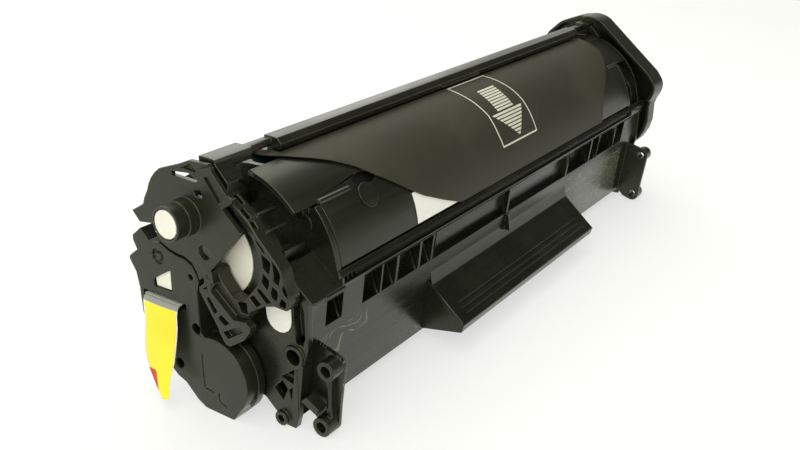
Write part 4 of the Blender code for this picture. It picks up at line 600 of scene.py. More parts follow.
@dataclass
class Workshop:
    """What every sub-assembly works with: the solids and the finishes."""

    nodes: dict[str, bpy.types.Object]
    effects: Effects = field(default_factory=Effects)
    materials: dict[str, bpy.types.Material] = field(default_factory=dict)
    made: int = 0
    crease: float = math.radians(40.0)
    corner_length: float = 3.0 * MM
    corner_slope: float = 0.98
    corner_turns: Point = (math.radians(16.0), math.radians(75.0))
    corner_segments: int = 3

    def material(self, finish: Moulded) -> bpy.types.Material:
        """The material of a finish, built at its first use.

        Args:
            finish: The finish.

        Returns:
            Its material.
        """
        if finish.name not in self.materials:
            self.materials[finish.name] = finish.build(self.effects)
        return self.materials[finish.name]

    def publish(self, name: str, mesh: bmesh.types.BMesh, body: Body, slot: Slot,
                finish: Moulded | None = None, stands_for: Sequence[str] = (),
                rounding: EdgeRounding | None = EdgeRounding()) -> None:
        """Makes a finished piece of a mesh.

        Args:
            name: The piece's name.
            mesh: Its mesh, which is freed.
            body: The body that it rides on.
            slot: The record's slot for its finish.
            finish: Its finish, where that isn't the slot's own.
            stands_for: The CAD nodes that it replaces.
            rounding: How its edges are rounded, or None for a sheet or a turned piece.
        """
        finish = finish or FINISHES[slot]
        if rounding:
            rounding.mark(mesh)
        else:
            for edge in mesh.edges:
                edge.smooth = edge.calc_face_angle(0.0) < self.crease
        for face in mesh.faces:
            face.smooth = True
        data = bpy.data.meshes.new(name)
        mesh.to_mesh(data)
        mesh.free()
        # The second material is the edge look: wear and a painted highlight along the rounded edges.
        for look in (finish, finish.worn_and_highlit()):
            data.materials.append(self.material(look))
        obj = bpy.data.objects.new(name, data)
        bpy.context.scene.collection.objects.link(obj)
        if rounding:
            rounding.apply(obj, 1)
        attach(obj, body.value)
        if stands_for:
            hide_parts(*stands_for)
        self.made += 1
        LOG.info("%s rides on %s, %d faces", name, body.value, len(data.polygons))

    def recast(self, node: str, name: str, body: Body, slot: Slot,
               rounding: EdgeRounding = EdgeRounding(), finish: Moulded | None = None,
               cuts: Sequence[bmesh.types.BMesh] = (), corner: float = 0.0) -> None:
        """Makes a casting that replaces a CAD node, with its edges rounded.

        Args:
            node: The CAD node.
            name: The piece's name.
            body: The body that it rides on.
            slot: The record's slot for its finish.
            rounding: How its edges are rounded.
            finish: Its finish, where that isn't the slot's own.
            cuts: Solids to take out of it, which are freed.
            corner: The radius of the corners of its side view.
        """
        mesh = bmesh.new()
        mesh.from_mesh(self.nodes[node].data)
        bmesh.ops.remove_doubles(mesh, verts=mesh.verts, dist=MERGE_DISTANCE)
        for tool in cuts:
            mesh = carved(mesh, tool)
        bmesh.ops.dissolve_limit(mesh, angle_limit=FLAT_ANGLE, verts=mesh.verts, edges=mesh.edges)
        if corner:
            self._round_corners(mesh, corner)
        bmesh.ops.triangulate(mesh, faces=mesh.faces, quad_method="BEAUTY", ngon_method="BEAUTY")
        for face in mesh.faces:
            face.material_index = 0
        self.publish(name, mesh, body, slot, finish, [node], rounding)

    def _round_corners(self, mesh: bmesh.types.BMesh, radius: float) -> None:
        """Rounds the outer corners that run along X, where there is room.

        Args:
            mesh: The mesh to round.
            radius: The corners' radius.
        """
        least, most = self.corner_turns
        turns = []
        for edge in mesh.edges:
            along = edge.verts[1].co - edge.verts[0].co
            long = along.length > self.corner_length and abs(along.x) > self.corner_slope * along.length
            if long and edge.is_convex and least < edge.calc_face_angle(0.0) < most:
                turns.append(edge)
        bmesh.ops.bevel(mesh, geom=turns, offset=radius, offset_type="OFFSET", affect="EDGES",
                        segments=self.corner_segments, profile=0.5, material=-1, clamp_overlap=True)
        bmesh.ops.remove_doubles(mesh, verts=mesh.verts, dist=MERGE_DISTANCE)

    def repaint(self, slots: dict[str, Slot]) -> None:
        """Gives CAD nodes that stay as they are their procedural finish.

        Args:
            slots: The record's slot of each node.
        """
        for node, slot in slots.items():
            data = self.nodes[node].data
            data.materials.clear()
            data.materials.append(self.material(FINISHES[slot]))
            LOG.info("%s keeps its solid, %s", node, slot.value)


def on_arc(radius: float, angle: float) -> Point:
    """The row's (Y, Z) at a radius and an angle in degrees about the shutter's axis."""
    turn = math.radians(angle)
    return PIVOT[0] + radius * math.cos(turn), PIVOT[1] + radius * math.sin(turn)


def around(centre: Point, radius: float, turns: Point, steps: int) -> list[Point]:
    """Points on a circle.

    Args:
        centre: The circle's centre.
        radius: Its radius.
        turns: The first and the last point's angle in degrees.
        steps: The steps between them.

    Returns:
        The points, one more than the steps.
    """
    first, last = turns
    ways = [math.radians(first + (last - first) * step / steps) for step in range(steps + 1)]
    return [(centre[0] + radius * math.cos(way), centre[1] + radius * math.sin(way)) for way in ways]


def flat_face(points: Iterable[Sequence[float]]) -> bmesh.types.BMesh:
    """A mesh of one face.

    Args:
        points: The face's corners.

    Returns:
        The flat mesh.
    """
    mesh = bmesh.new()
    mesh.faces.new([mesh.verts.new(point) for point in points])
    return mesh


def outward(mesh: bmesh.types.BMesh) -> None:
    """Turns every face of a closed mesh to point outwards."""
    mesh.normal_update()
    bmesh.ops.recalc_face_normals(mesh, faces=mesh.faces)


def raise_face(mesh: bmesh.types.BMesh, offset: Vector) -> bmesh.types.BMesh:
    """Extrudes every face of a flat mesh and sets the faces to point outwards.

    Args:
        mesh: The flat mesh.
        offset: How far, and which way, the copy goes.

    Returns:
        The same mesh, now closed.
    """
    grown = bmesh.ops.extrude_face_region(mesh, geom=mesh.faces[:], use_keep_orig=True)
    moved = [item for item in grown["geom"] if isinstance(item, bmesh.types.BMVert)]
    bmesh.ops.translate(mesh, verts=moved, vec=offset)
    outward(mesh)
    return mesh


def prism(outline: Iterable[Point], x_from: float, x_to: float) -> bmesh.types.BMesh:
    """A solid with the (Y, Z) outline between two X positions."""
    mesh = flat_face([(x_from, y, z) for y, z in outline])
    return raise_face(mesh, Vector((x_to - x_from, 0.0, 0.0)))


def plate(outline: Iterable[Point], reach: Point) -> bmesh.types.BMesh:
    """A prism whose outline and two X positions are in millimetres."""
    return prism(millimetres(outline), reach[0] * MM, reach[1] * MM)


def turned(profile: Sequence[Point], centre: Point, steps: int) -> bmesh.types.BMesh:
    """A solid turned about a line along X.

    Args:
        profile: The (X, radius) corners, from axis to axis or as a closed ring.
        centre: The axis's (Y, Z).
        steps: The steps round the axis.

    Returns:
        The closed mesh.
    """
    mesh = bmesh.new()
    verts = [mesh.verts.new((x, centre[0], centre[1] + radius)) for x, radius in profile]
    closed = min(radius for _, radius in profile) > 0.0
    edges = [mesh.edges.new(pair) for pair in zip(verts, verts[1:] + (verts[:1] if closed else []))]
    bmesh.ops.spin(mesh, geom=[*verts, *edges], cent=(0.0, *centre), axis=(1.0, 0.0, 0.0),
                   angle=math.tau, steps=steps, use_merge=True)
    bmesh.ops.remove_doubles(mesh, verts=mesh.verts, dist=MERGE_DISTANCE)
    outward(mesh)
    return mesh


def wrapped(outline: Iterable[Point], radius: float, thickness: float) -> bmesh.types.BMesh:
    """A thin plate bent round the shutter's axis.

    Args:
        outline: The plate's corners as (X, angle in degrees).
        radius: The inner radius.
        thickness: The plate's thickness.

    Returns:
        The closed mesh.
    """
    mesh = flat_face([(x, math.radians(angle) * radius, 0.0) for x, angle in outline])
    low = min(vert.co.y for vert in mesh.verts)
    high = max(vert.co.y for vert in mesh.verts)
    step = FACET * radius
    for number in range(1, int((high - low) / step) + 1):
        parts = mesh.verts[:] + mesh.edges[:] + mesh.faces[:]
        bmesh.ops.bisect_plane(mesh, geom=parts, dist=CUT_DISTANCE, plane_no=(0.0, 1.0, 0.0),
                               plane_co=(0.0, low + number * step, 0.0))
    raise_face(mesh, Vector((0.0, 0.0, thickness)))
    for vert in mesh.verts:
        y, z = on_arc(radius + vert.co.z, math.degrees(vert.co.y / radius))
        vert.co = (vert.co.x, y, z)
    outward(mesh)
    return mesh


def joined(meshes: Iterable[bmesh.types.BMesh]) -> bmesh.types.BMesh:
    """One mesh of several.

    Args:
        meshes: The meshes, which are freed.

    Returns:
        The mesh of them all.
    """
    whole = bmesh.new()
    for mesh in meshes:
        data = bpy.data.meshes.new("part")
        mesh.to_mesh(data)
        mesh.free()
        whole.from_mesh(data)
        bpy.data.meshes.remove(data)
    return whole


def carved(mesh: bmesh.types.BMesh, tool: bmesh.types.BMesh) -> bmesh.types.BMesh:
    """A mesh with a tool's shape taken out of it; both are freed.

    Args:
        mesh: The closed mesh to cut.
        tool: The closed mesh to take out.

    Returns:
        The cut mesh.
    """
    pieces = []
    for source in (mesh, tool):
        data = bpy.data.meshes.new("carving")
        source.to_mesh(data)
        source.free()
        pieces.append(bpy.data.objects.new("carving", data))
        bpy.context.scene.collection.objects.link(pieces[-1])
    cut = pieces[0].modifiers.new("cut", "BOOLEAN")
    cut.operation = "DIFFERENCE"
    cut.solver = "EXACT"
    cut.object = pieces[1]
    bpy.context.view_layer.update()
    solid = pieces[0].evaluated_get(bpy.context.evaluated_depsgraph_get())
    result = bmesh.new()
    result.from_mesh(solid.to_mesh())
    solid.to_mesh_clear()
    for piece in pieces:
        data = piece.data
        bpy.data.objects.remove(piece)
        bpy.data.meshes.remove(data)
    bmesh.ops.remove_doubles(result, verts=result.verts, dist=MERGE_DISTANCE)
    return result


def groove(points: Sequence[Point], width: float) -> list[Point]:
    """The outline of a groove of even width.

    Args:
        points: The (Y, Z) points of the line that it follows.
        width: The groove's width.

    Returns:
        The outline's corners, up one side and down the other.
    """
    left, right = [], []
    for number, point in enumerate(points):
        before = Vector(points[max(number - 1, 0)])
        after = Vector(points[min(number + 1, len(points) - 1)])
        along = (after - before).normalized()
        side = Vector((-along.y, along.x)) * width / 2
        left.append(tuple(Vector(point) + side))
        right.append(tuple(Vector(point) - side))
    return left + right[::-1]


def millimetres(points: Iterable[Point]) -> list[Point]:
    """The points in metres."""
    return [(first * MM, second * MM) for first, second in points]


@dataclass
class HopperUnit:
    """The lower casting with its caps, label and seal."""

    shop: Workshop
    casting: EdgeRounding = EdgeRounding(0.32 * MM)
    fine: EdgeRounding = EdgeRounding(0.15 * MM)
    slit: tuple[Point, ...] = ((-32.0, 50.3), (-32.0, 55.2), (-28.9, 55.2), (-28.9, 50.3))
    slit_places: tuple[float, ...] = (-121.3, -118.9, -116.7)
    slit_half: float = 0.5
    handle_end: tuple[Point, ...] = ((-24.8, 5.3), (-43.5, 9.0), (-44.62, 12.5), (-29.3, 25.8), (-27.6, 27.4))
    near_end: Point = (-65.25, -63.4)
    far_end: Point = (53.4, 55.25)
    rib: tuple[Point, ...] = ((-28.7, 37.1), (-23.9, 37.1), (-25.2, 47.8))
    rib_places: tuple[float, ...] = (-122.4, -100.2, -90.8, -75.8, -66.8, 78.4, 87.8, 108.4, 120.0)
    rib_thickness: float = 0.9
    brace: tuple[Point, ...] = ((-26.0, 11.8), (-32.4, 8.8), (-33.9, 11.2), (-28.4, 14.2))
    brace_reach: Point = (-137.0, -141.2)

    def rail_ribs(self) -> bmesh.types.BMesh:
        """The three-cornered ribs that stiffen the rail's pockets."""
        return joined(plate(self.rib, (x - self.rib_thickness, x)) for x in self.rib_places)

    def build(self) -> None:
        """Dresses the unit's pieces."""
        slits = [plate(self.slit, (x - self.slit_half, x + self.slit_half)) for x in self.slit_places]
        self.shop.recast("main_housing", "housing_casting", Body.ROOT, Slot.HOUSING, self.casting, cuts=slits)
        self.shop.publish("rail_ribs", self.rail_ribs(), Body.ROOT, Slot.HOUSING, FINISHES[Slot.COVER],
                          rounding=self.fine)
        self.shop.publish("bracket_brace", plate(self.brace, self.brace_reach), Body.ROOT, Slot.HOUSING,
                          FINISHES[Slot.COVER])
        for name, reach in (("handle_end_near", self.near_end), ("handle_end_far", self.far_end)):
            self.shop.publish(name, plate(self.handle_end, reach), Body.ROOT, Slot.HOUSING, FINISHES[Slot.COVER])
        self.shop.recast("end_cap", "white_end_cap", Body.ROOT, Slot.WHITE, self.fine)
        self.shop.repaint({"hopper_deck": Slot.HOUSING, "seal_strip": Slot.FILM, "end_label": Slot.LABEL})


@dataclass
class WasteUnit:
    """The curved upper body, its sheet with the printed marks, and its label."""

    shop: Workshop
    casting: EdgeRounding = EdgeRounding(0.32 * MM)
    sheet_outer: float = CURVE_RADIUS + 1.0 * MM
    print_thickness: float = 0.03 * MM
    line: float = 0.72 * MM
    line_lap: float = 0.5
    frame_left: tuple[Point, ...] = (
        (-12.8, 100.2), (-12.0, 110.0), (-10.7, 121.0), (-9.6, 133.0), (-10.2, 141.0), (-10.6, 148.0),
        (-10.3, 156.6),
    )
    frame_right: tuple[Point, ...] = (
        (19.4, 156.4), (19.7, 150.0), (20.4, 141.0), (21.0, 132.0), (20.4, 121.0), (19.0, 112.0),
        (16.8, 100.2),
    )
    sheet_left: tuple[Point, ...] = (
        (-118.4, 98.5), (-118.8, 91.5), (-125.2, 90.4), (-124.6, 94.0), (-122.5, 98.5), (-119.3, 102.6),
        (-116.2, 106.9), (-113.2, 110.2), (-110.0, 113.6), (-106.0, 118.0), (-98.0, 128.2), (-92.0, 137.6),
        (-83.0, 148.7), (-77.6, 155.0), (-71.6, 160.8), (-60.0, 169.0), (-48.6, 176.0),
    )
    sheet_right: tuple[Point, ...] = (
        (86.3, 176.0), (89.3, 165.5), (95.1, 153.6), (101.0, 146.4), (106.9, 139.3), (113.0, 129.8),
        (117.4, 120.4), (118.0, 98.5),
    )
    sheet_gap: float = 0.7 * MM
    sheet_thickness: float = 0.3 * MM
    button_place: Point = (-100.3, 145.4)
    button_radius: float = 4.6
    button_height: float = 0.9 * MM
    button_sunk: float = 0.45 * MM
    hole_place: Point = (-97.0, 135.3)
    hole_half: Point = (6.0, 2.7)
    hole_depth: float = 1.9 * MM
    floor_margin: float = 0.6
    floor_thickness: float = 0.9 * MM
    oval_steps: int = 28
    arrow_centre: float = 5.3
    shaft_half: float = 6.8
    shaft_angles: Point = (113.0, 134.0)
    shaft_bars: int = 9
    head_half: float = 12.8
    head_angles: Point = (134.6, 154.2)
    head_bars: int = 8
    bar_share: float = 0.66

    def build(self) -> None:
        """Dresses the unit's pieces."""
        self.shop.recast("waste_bin", "curved_body", Body.ROOT, Slot.HOUSING, self.casting, FINISHES[Slot.COVER],
                         [self.finger_hole()])
        self.shop.publish("loose_sheet", self.sheet(), Body.ROOT, Slot.SHEET, None, ["cover_sheet"], None)
        # The hollow's floor takes the darker plastic as painted shade.
        self.shop.publish("hollow_floor", self.hollow_floor(), Body.ROOT, Slot.HOUSING, HOLLOW_SHADE, rounding=None)
        self.shop.publish("round_button", self.button(), Body.ROOT, Slot.HOUSING, FINISHES[Slot.COVER], (),
                          EdgeRounding(0.25 * MM))
        self.shop.repaint({"panel_label": Slot.LABEL})
        self.shop.repaint({"blade_bracket": Slot.STEEL, "cleaning_blade": Slot.BLADE})
        self.shop.publish("sheet_frame_mark", self.frame_mark(), Body.ROOT, Slot.SHEET, PRINT, rounding=None)
        self.shop.publish("sheet_arrow_mark", self.arrow_mark(), Body.ROOT, Slot.SHEET, PRINT, rounding=None)

    def sheet(self) -> bmesh.types.BMesh:
        """The loose dark sheet over the curved body.

        Returns:
            The bent sheet.
        """
        outline = [(x * MM, angle) for x, angle in (*self.sheet_left, *self.sheet_right)]
        return wrapped(outline, CURVE_RADIUS + self.sheet_gap, self.sheet_thickness)

    def _ellipse(self, centre: Point, half: Point) -> list[Point]:
        """An ellipse on the curved body.

        Args:
            centre: Its centre as (X in millimetres, angle in degrees).
            half: Its half sizes in millimetres.

        Returns:
            Its corners as (X, angle).
        """
        turn = math.degrees(MM / CURVE_RADIUS)
        ring = [math.tau * step / self.oval_steps for step in range(self.oval_steps)]
        return [((centre[0] + half[0] * math.cos(way)) * MM, centre[1] + half[1] * math.sin(way) * turn)
                for way in ring]

    def button(self) -> bmesh.types.BMesh:
        """The round button that stands on the bare part of the curved body."""
        outline = self._ellipse(self.button_place, (self.button_radius, self.button_radius))
        return wrapped(outline, CURVE_RADIUS - self.button_sunk, self.button_sunk + self.button_height)

    def finger_hole(self) -> bmesh.types.BMesh:
        """The oval hollow behind the button, as the solid that it takes out."""
        outline = self._ellipse(self.hole_place, self.hole_half)
        return wrapped(outline, CURVE_RADIUS - self.hole_depth, self.hole_depth * 2)

    def hollow_floor(self) -> bmesh.types.BMesh:
        """The floor of the oval hollow, a little wider than its opening, in a darker plastic that paints the hollow's
        shade.

        Returns:
            The bent plate.
        """
        half = (self.hole_half[0] + self.floor_margin, self.hole_half[1] + self.floor_margin)
        inside = CURVE_RADIUS - self.hole_depth - self.floor_thickness
        return wrapped(self._ellipse(self.hole_place, half), inside, self.floor_thickness)

    def frame_mark(self) -> bmesh.types.BMesh:
        """The printed frame line.

        Returns:
            Its bent strips.
        """
        corners = [*self.frame_left, *self.frame_right]
        strips = []
        half = self.line / 2
        for (x0, a0), (x1, a1) in zip(corners, corners[1:] + corners[:1]):
            along = Vector(((x1 - x0) * MM, math.radians(a1 - a0) * self.sheet_outer))
            side = Vector((-along.y, along.x)).normalized() * half
            turn = math.degrees(side.y / self.sheet_outer)
            lap = along.normalized() * half * self.line_lap
            lap_turn = math.degrees(lap.y / self.sheet_outer)
            start, end = (x0 * MM - lap.x, a0 - lap_turn), (x1 * MM + lap.x, a1 + lap_turn)
            strips.append([
                (start[0] + side.x, start[1] + turn), (end[0] + side.x, end[1] + turn),
                (end[0] - side.x, end[1] - turn), (start[0] - side.x, start[1] - turn),
            ])
        return joined(wrapped(strip, self.sheet_outer, self.print_thickness) for strip in strips)

    def arrow_mark(self) -> bmesh.types.BMesh:
        """The arrow made of printed bars.

        Returns:
            Its bent bars.
        """
        bars = self._bars(self.shaft_angles, self.shaft_bars, (self.shaft_half, self.shaft_half))
        bars += self._bars(self.head_angles, self.head_bars, (self.head_half, 0.0))
        return joined(wrapped(bar, self.sheet_outer, self.print_thickness) for bar in bars)

    def _bars(self, angles: Point, count: int, halves: Point) -> list[list[Point]]:
        """A row of bars, as one part of the arrow.

        Args:
            angles: The angles between which the row lies.
            count: How many bars it has.
            halves: Half its width at the two angles, in millimetres.

        Returns:
            Each bar's corners.
        """
        first, last = angles
        step = (last - first) / count
        bars = []
        for low in (first + number * step for number in range(count)):
            high = low + step * self.bar_share
            widths = [halves[0] + (halves[1] - halves[0]) * (angle - first) / (last - first) for angle in (low, high)]
            bars.append(self._bar(low, high, *widths))
        return bars

    def _bar(self, low: float, high: float, low_half: float, high_half: float) -> list[Point]:
        """One printed bar of the arrow.

        Args:
            low: The angle of its lower edge.
            high: The angle of its upper edge.
            low_half: Half its width at the lower edge, in millimetres.
            high_half: Half its width at the upper edge.

        Returns:
            Its corners as (X, angle).
        """
        middle = self.arrow_centre
        rows = ((low, low_half, -1), (low, low_half, 1), (high, high_half, 1), (high, high_half, -1))
        return [((middle + side * half) * MM, angle) for angle, half, side in rows]


@dataclass
class ShutterUnit:
    """The drum shutter with its arms, pins and spring."""

    shop: Workshop
    casting: EdgeRounding = EdgeRounding(0.35 * MM)
    fine: EdgeRounding = EdgeRounding(0.2 * MM)
    hub_face: float = -150.35 * MM
    hub_step: float = -145.6 * MM
    hub_end: float = -141.95 * MM
    hub_half: float = 2.25 * MM
    hub_bore: float = 1.6 * MM
    hub_floor: float = 0.34 * MM
    bore_steps: int = 20
    peg_radius: float = 2.35 * MM
    peg_steps: int = 24
    hub_turn: float = 38.0
    eye_half: float = 0.8 * MM
    eye_depth: float = 0.3 * MM
    overlap: float = 1.0 * MM
    slots: tuple[tuple[Point, Point, Point], ...] = (
        ((-145.6, -143.9), (-5.3, 83.85), (-8.3, 81.5)),
        ((-147.2, -145.6), (-9.7, 80.4), (-12.6, 78.2)),
        ((-147.2, -145.6), (-13.6, 77.1), (-15.4, 74.95)),
    )
    slot_depth: float = 1.6 * MM
    ring_place: Place = (-144.8, -3.36, 90.89)
    ring_radii: Point = (2.5, 2.1)
    ring_lift: float = 0.14
    ring_slope: float = 0.05
    ring_steps: int = 32
    shoulder_way: Point = (-0.7236, 0.6902)

    def slot_tool(self, reach: Point, start: Point, end: Point) -> bmesh.types.BMesh:
        """The solid that one slot of the arm's flange takes out.

        Args:
            reach: The slot's two X positions in millimetres.
            start: One end of the slot on the flange, as (Y, Z) in millimetres.
            end: Its other end.

        Returns:
            The closed mesh.
        """
        first, last = Vector(start) * MM, Vector(end) * MM
        along = (last - first).normalized()
        inward = Vector((-along.y, along.x)) * self.slot_depth
        outline = [first - inward, last - inward, last + inward, first + inward]
        return prism([tuple(point) for point in outline], reach[0] * MM, reach[1] * MM)

    def hub(self) -> bmesh.types.BMesh:
        """The near hub: a square head with a small dark eye, and a round peg behind it.

        Returns:
            The closed mesh of both.
        """
        turns = (self.hub_turn, self.hub_turn + 270.0)
        square, small = (around(PIVOT, half * math.sqrt(2.0), turns, 3) for half in (self.hub_half, self.eye_half))
        head = prism(square, self.hub_face, self.hub_step)
        head = carved(head, prism(small, self.hub_face - self.overlap, self.hub_face + self.eye_depth))
        low, high = self.hub_face + self.hub_floor, self.hub_step + self.overlap
        bore = [(low, 0.0), (low, self.hub_bore), (high, self.hub_bore), (high, 0.0)]
        head = carved(head, turned(bore, PIVOT, self.bore_steps))
        low, high = self.hub_step - self.overlap, self.hub_end
        peg = [(low, self.hub_bore), (low, self.peg_radius), (high, self.peg_radius), (high, self.hub_bore)]
        return joined([head, turned(peg, PIVOT, self.peg_steps)])

    def ring(self) -> bmesh.types.BMesh:
        """The thin round mark on the shoulder plate.

        Returns:
            The ring's closed mesh.
        """
        outer, inner = self.ring_radii
        lift, slope = self.ring_lift, self.ring_slope
        profile = [(-lift, outer), (lift, outer - slope), (lift, inner + slope), (-lift, inner)]
        mesh = turned([(x * MM, radius * MM) for x, radius in profile], (0.0, 0.0), self.ring_steps)
        turn = math.atan2(self.shoulder_way[1], self.shoulder_way[0])
        across = Vector((0.0, math.cos(turn), math.sin(turn)))
        side = Vector((0.0, -math.sin(turn), math.cos(turn)))
        place = Vector(self.ring_place) * MM
        for vert in mesh.verts:
            vert.co = place + across * vert.co.x + Vector((1.0, 0.0, 0.0)) * vert.co.y + side * vert.co.z
        outward(mesh)
        return mesh

    def build(self) -> None:
        """Dresses the unit's pieces."""
        self.shop.recast("shutter", "shutter_casting", Body.SHUTTER, Slot.SHUTTER, self.casting,
                         cuts=[self.slot_tool(*slot) for slot in self.slots])
        self.shop.publish("near_hub_sleeve", self.hub(), Body.SHUTTER, Slot.SHUTTER, rounding=self.fine)
        self.shop.publish("shoulder_ring", self.ring(), Body.SHUTTER, Slot.SHUTTER, rounding=None)
        pins = {"shutter_pin_left": Slot.STEEL, "shutter_pin_right": Slot.STEEL, "shutter_spring": Slot.STEEL}
        self.shop.repaint(pins)


@dataclass
class EndCovers:
    """The covers screwed to both ends, with the guide boss's disc."""

    shop: Workshop
    casting: EdgeRounding = EdgeRounding(0.35 * MM)
    fine: EdgeRounding = EdgeRounding(0.2 * MM)
    grooves: tuple[tuple[Point, ...], ...] = (
        ((11.2, 22.6), (11.3, 15.0), (11.2, 9.2), (10.6, 8.5), (6.8, 8.0)),
        ((4.0, 8.7), (4.4, 6.9), (3.9, 5.5), (2.8, 4.6), (0.8, 4.2)),
    )
    groove_width: float = 0.55 * MM
    groove_reach: Point = (-151.0 * MM, -149.9 * MM)
    top_hollow: tuple[Point, ...] = ((13.0, 91.0), (8.2, 93.2), (6.0, 91.6), (6.2, 90.6), (10.4, 91.0))
    hollow_reach: Point = (-151.0, -149.2)
    pane: tuple[Point, ...] = ((32.2, 47.0), (23.5, 50.9), (23.4, 43.1), (32.0, 42.9))
    pane_reach: Point = (-149.6, -149.2)
    clip_reach: Point = (-150.1, -151.6)
    clip_outline: tuple[Point, ...] = (
        (3.3, 92.8), (-2.2, 94.3), (-2.7, 92.6), (-8.6, 86.0), (-11.0, 85.6), (-10.6, 84.2), (-6.0, 81.2),
        (2.1, 89.8),
    )
    channel: tuple[Point, ...] = ((1.2, 90.4), (-2.3, 91.6), (-7.9, 85.2), (-4.5, 82.9))
    channel_reach: Point = (-150.9, -152.0)
    lobe_axis: Point = (5.15, 15.0)
    lobe_radii: Point = (16.0, 14.4)
    lobe_turn: Point = (73.0, 222.0)
    lobe_steps: int = 20
    lobe_reach: Point = (-145.6, -142.2)
    lower_corner: float = 1.2 * MM
    right_corner: float = 2.4 * MM

    def clip(self) -> bmesh.types.BMesh:
        """The raised clip on the upper cover, with the channel down its middle."""
        return carved(plate(self.clip_outline, self.clip_reach), plate(self.channel, self.channel_reach))

    def lobe_step(self) -> bmesh.types.BMesh:
        """The low step that follows the lobe of the lower cover.

        Returns:
            The closed ring.
        """
        outer, inner = (around(self.lobe_axis, radius, self.lobe_turn, self.lobe_steps) for radius in self.lobe_radii)
        return plate(outer + inner[::-1], self.lobe_reach)

    def build(self) -> None:
        """Dresses the unit's pieces."""
        marks = [prism(groove(millimetres(line), self.groove_width), *self.groove_reach) for line in self.grooves]
        hollow = plate(self.top_hollow, self.hollow_reach)
        for node, name, cuts, corner in (("left_cover_upper", "left_upper_cover", [hollow], 0.0),
                                         ("left_cover_lower", "left_lower_cover", marks, self.lower_corner),
                                         ("right_cover", "right_end_cover", [], self.right_corner)):
            self.shop.recast(node, name, Body.ROOT, Slot.COVER, self.casting, cuts=cuts, corner=corner)
        self.shop.publish("lobe_step", self.lobe_step(), Body.ROOT, Slot.COVER)
        self.shop.publish("cover_clip", self.clip(), Body.ROOT, Slot.COVER, rounding=self.fine)
        self.shop.publish("window_pane", plate(self.pane, self.pane_reach), Body.ROOT, Slot.WHITE, rounding=None)
        self.shop.recast("boss_disc", "white_boss_disc", Body.ROOT, Slot.WHITE, self.fine)
        self.shop.repaint({"unit_spring": Slot.STEEL, "contact_spring": Slot.STEEL})


@dataclass
class SealUnit:
    """The pull tab that draws the sealing film out.

    The tab is a strip in rows from its slot down to its tip, each row as X, and the (Y, Z) of its rear
    and front ends, in millimetres.
    """

    shop: Workshop
    rows: tuple[tuple[float, Point, Point], ...] = (
        (-150.0, (37.2, 38.7), (19.5, 38.7)),
        (-151.0, (37.2, 38.7), (19.5, 38.7)),
        (-151.9, (37.1, 38.4), (19.4, 38.4)),
        (-152.6, (36.9, 37.2), (19.2, 37.4)),
        (-153.0, (36.6, 35.6), (19.2, 36.0)),
        (-153.2, (36.65, 28.05), (19.3, 31.2)),
        (-153.6, (37.3, 22.5), (19.8, 26.5)),
        (-154.0, (37.4, 17.5), (20.5, 22.0)),
        (-154.7, (36.2, 13.0), (21.0, 17.6)),
        (-155.7, (33.1, 9.7), (21.6, 13.7)),
        (-157.1, (29.6, 6.8), (21.8, 9.7)),
        (-158.5, (26.2, 4.6), (20.7, 6.9)),
        (-159.2, (24.4, 3.9), (20.9, 4.7)),
    )
    fold_rows: int = 4
    border: float = 0.045
    thickness: float = 0.12 * MM
    yellow_lift: float = 0.1 * MM
    bend: float = 0.55 * MM
    columns: int = 8
    red_corners: tuple[tuple[int, float, float], ...] = ((8, 0.02, 0.5), (8, 0.30, 0.75), (10, 0.06, 0.6))
    red_lift: float = 0.26 * MM
    red_thickness: float = 0.05 * MM

    def build(self) -> None:
        """Makes the tab, the grey film that it is folded from, and its red mark."""
        film = self.strip(self.rows[:self.fold_rows])
        self.shop.publish("tab_fold", film, Body.ROOT, Slot.TAB, DRIED, rounding=None)
        backing = self.strip(self.rows[self.fold_rows - 1:])
        self.shop.publish("tab_backing", backing, Body.ROOT, Slot.TAB, CREAM, rounding=None)
        strip = self.strip(self.rows[self.fold_rows - 1:], self.border, self.yellow_lift)
        self.shop.publish("yellow_pull_tab", strip, Body.ROOT, Slot.TAB, None, ["pull_tab"], None)
        self.shop.publish("tab_red_mark", self.red_mark(), Body.ROOT, Slot.TAB, RED, rounding=None)

    def place(self, row: float, share: float) -> Vector:
        """A point of the tab.

        Args:
            row: The row, whole or between two rows.
            share: How far across it is from its rear end.

        Returns:
            The point in metres.
        """
        low = min(int(row), len(self.rows) - 2)
        points = []
        for number in (low, low + 1):
            x, rear, front = self.rows[number]
            across = Vector((x, *rear)).lerp(Vector((x, *front)), share)
            points.append(across * MM)
        point = points[0].lerp(points[1], row - low)
        curl = self.bend * math.sin(math.pi * share) * min(1.0, row / self.fold_rows)
        return point - Vector((curl, 0.0, 0.0))

    def strip(self, rows: Sequence[tuple[float, Point, Point]], border: float = 0.0,
              lift: float = 0.0) -> bmesh.types.BMesh:
        """A thin bent strip through some of the rows.

        Args:
            rows: The rows, a run of the tab's own.
            border: The share of the width left bare at either side.
            lift: How far it stands out from the backing.

        Returns:
            The closed mesh.
        """
        first = self.rows.index(rows[0])
        mesh = bmesh.new()
        bmesh.ops.create_grid(mesh, x_segments=self.columns, y_segments=2 * (len(rows) - 1), size=0.5)
        for vert in mesh.verts:
            share = 0.5 - vert.co.x * (1.0 - 2.0 * border)
            row = first + (0.5 - vert.co.y) * (len(rows) - 1 - 2.0 * border)
            vert.co = self.place(row, share) - Vector((lift, 0.0, 0.0))
        bmesh.ops.solidify(mesh, geom=mesh.faces[:], thickness=self.thickness)
        outward(mesh)
        return mesh

    def red_mark(self) -> bmesh.types.BMesh:
        """The small red triangle near the tab's tip.

        Returns:
            The closed mesh.
        """
        lift = Vector((-self.red_lift, 0.0, 0.0))
        points = [self.place(row + more, share) + lift for row, share, more in self.red_corners]
        return raise_face(flat_face(points), Vector((-self.red_thickness, 0.0, 0.0)))


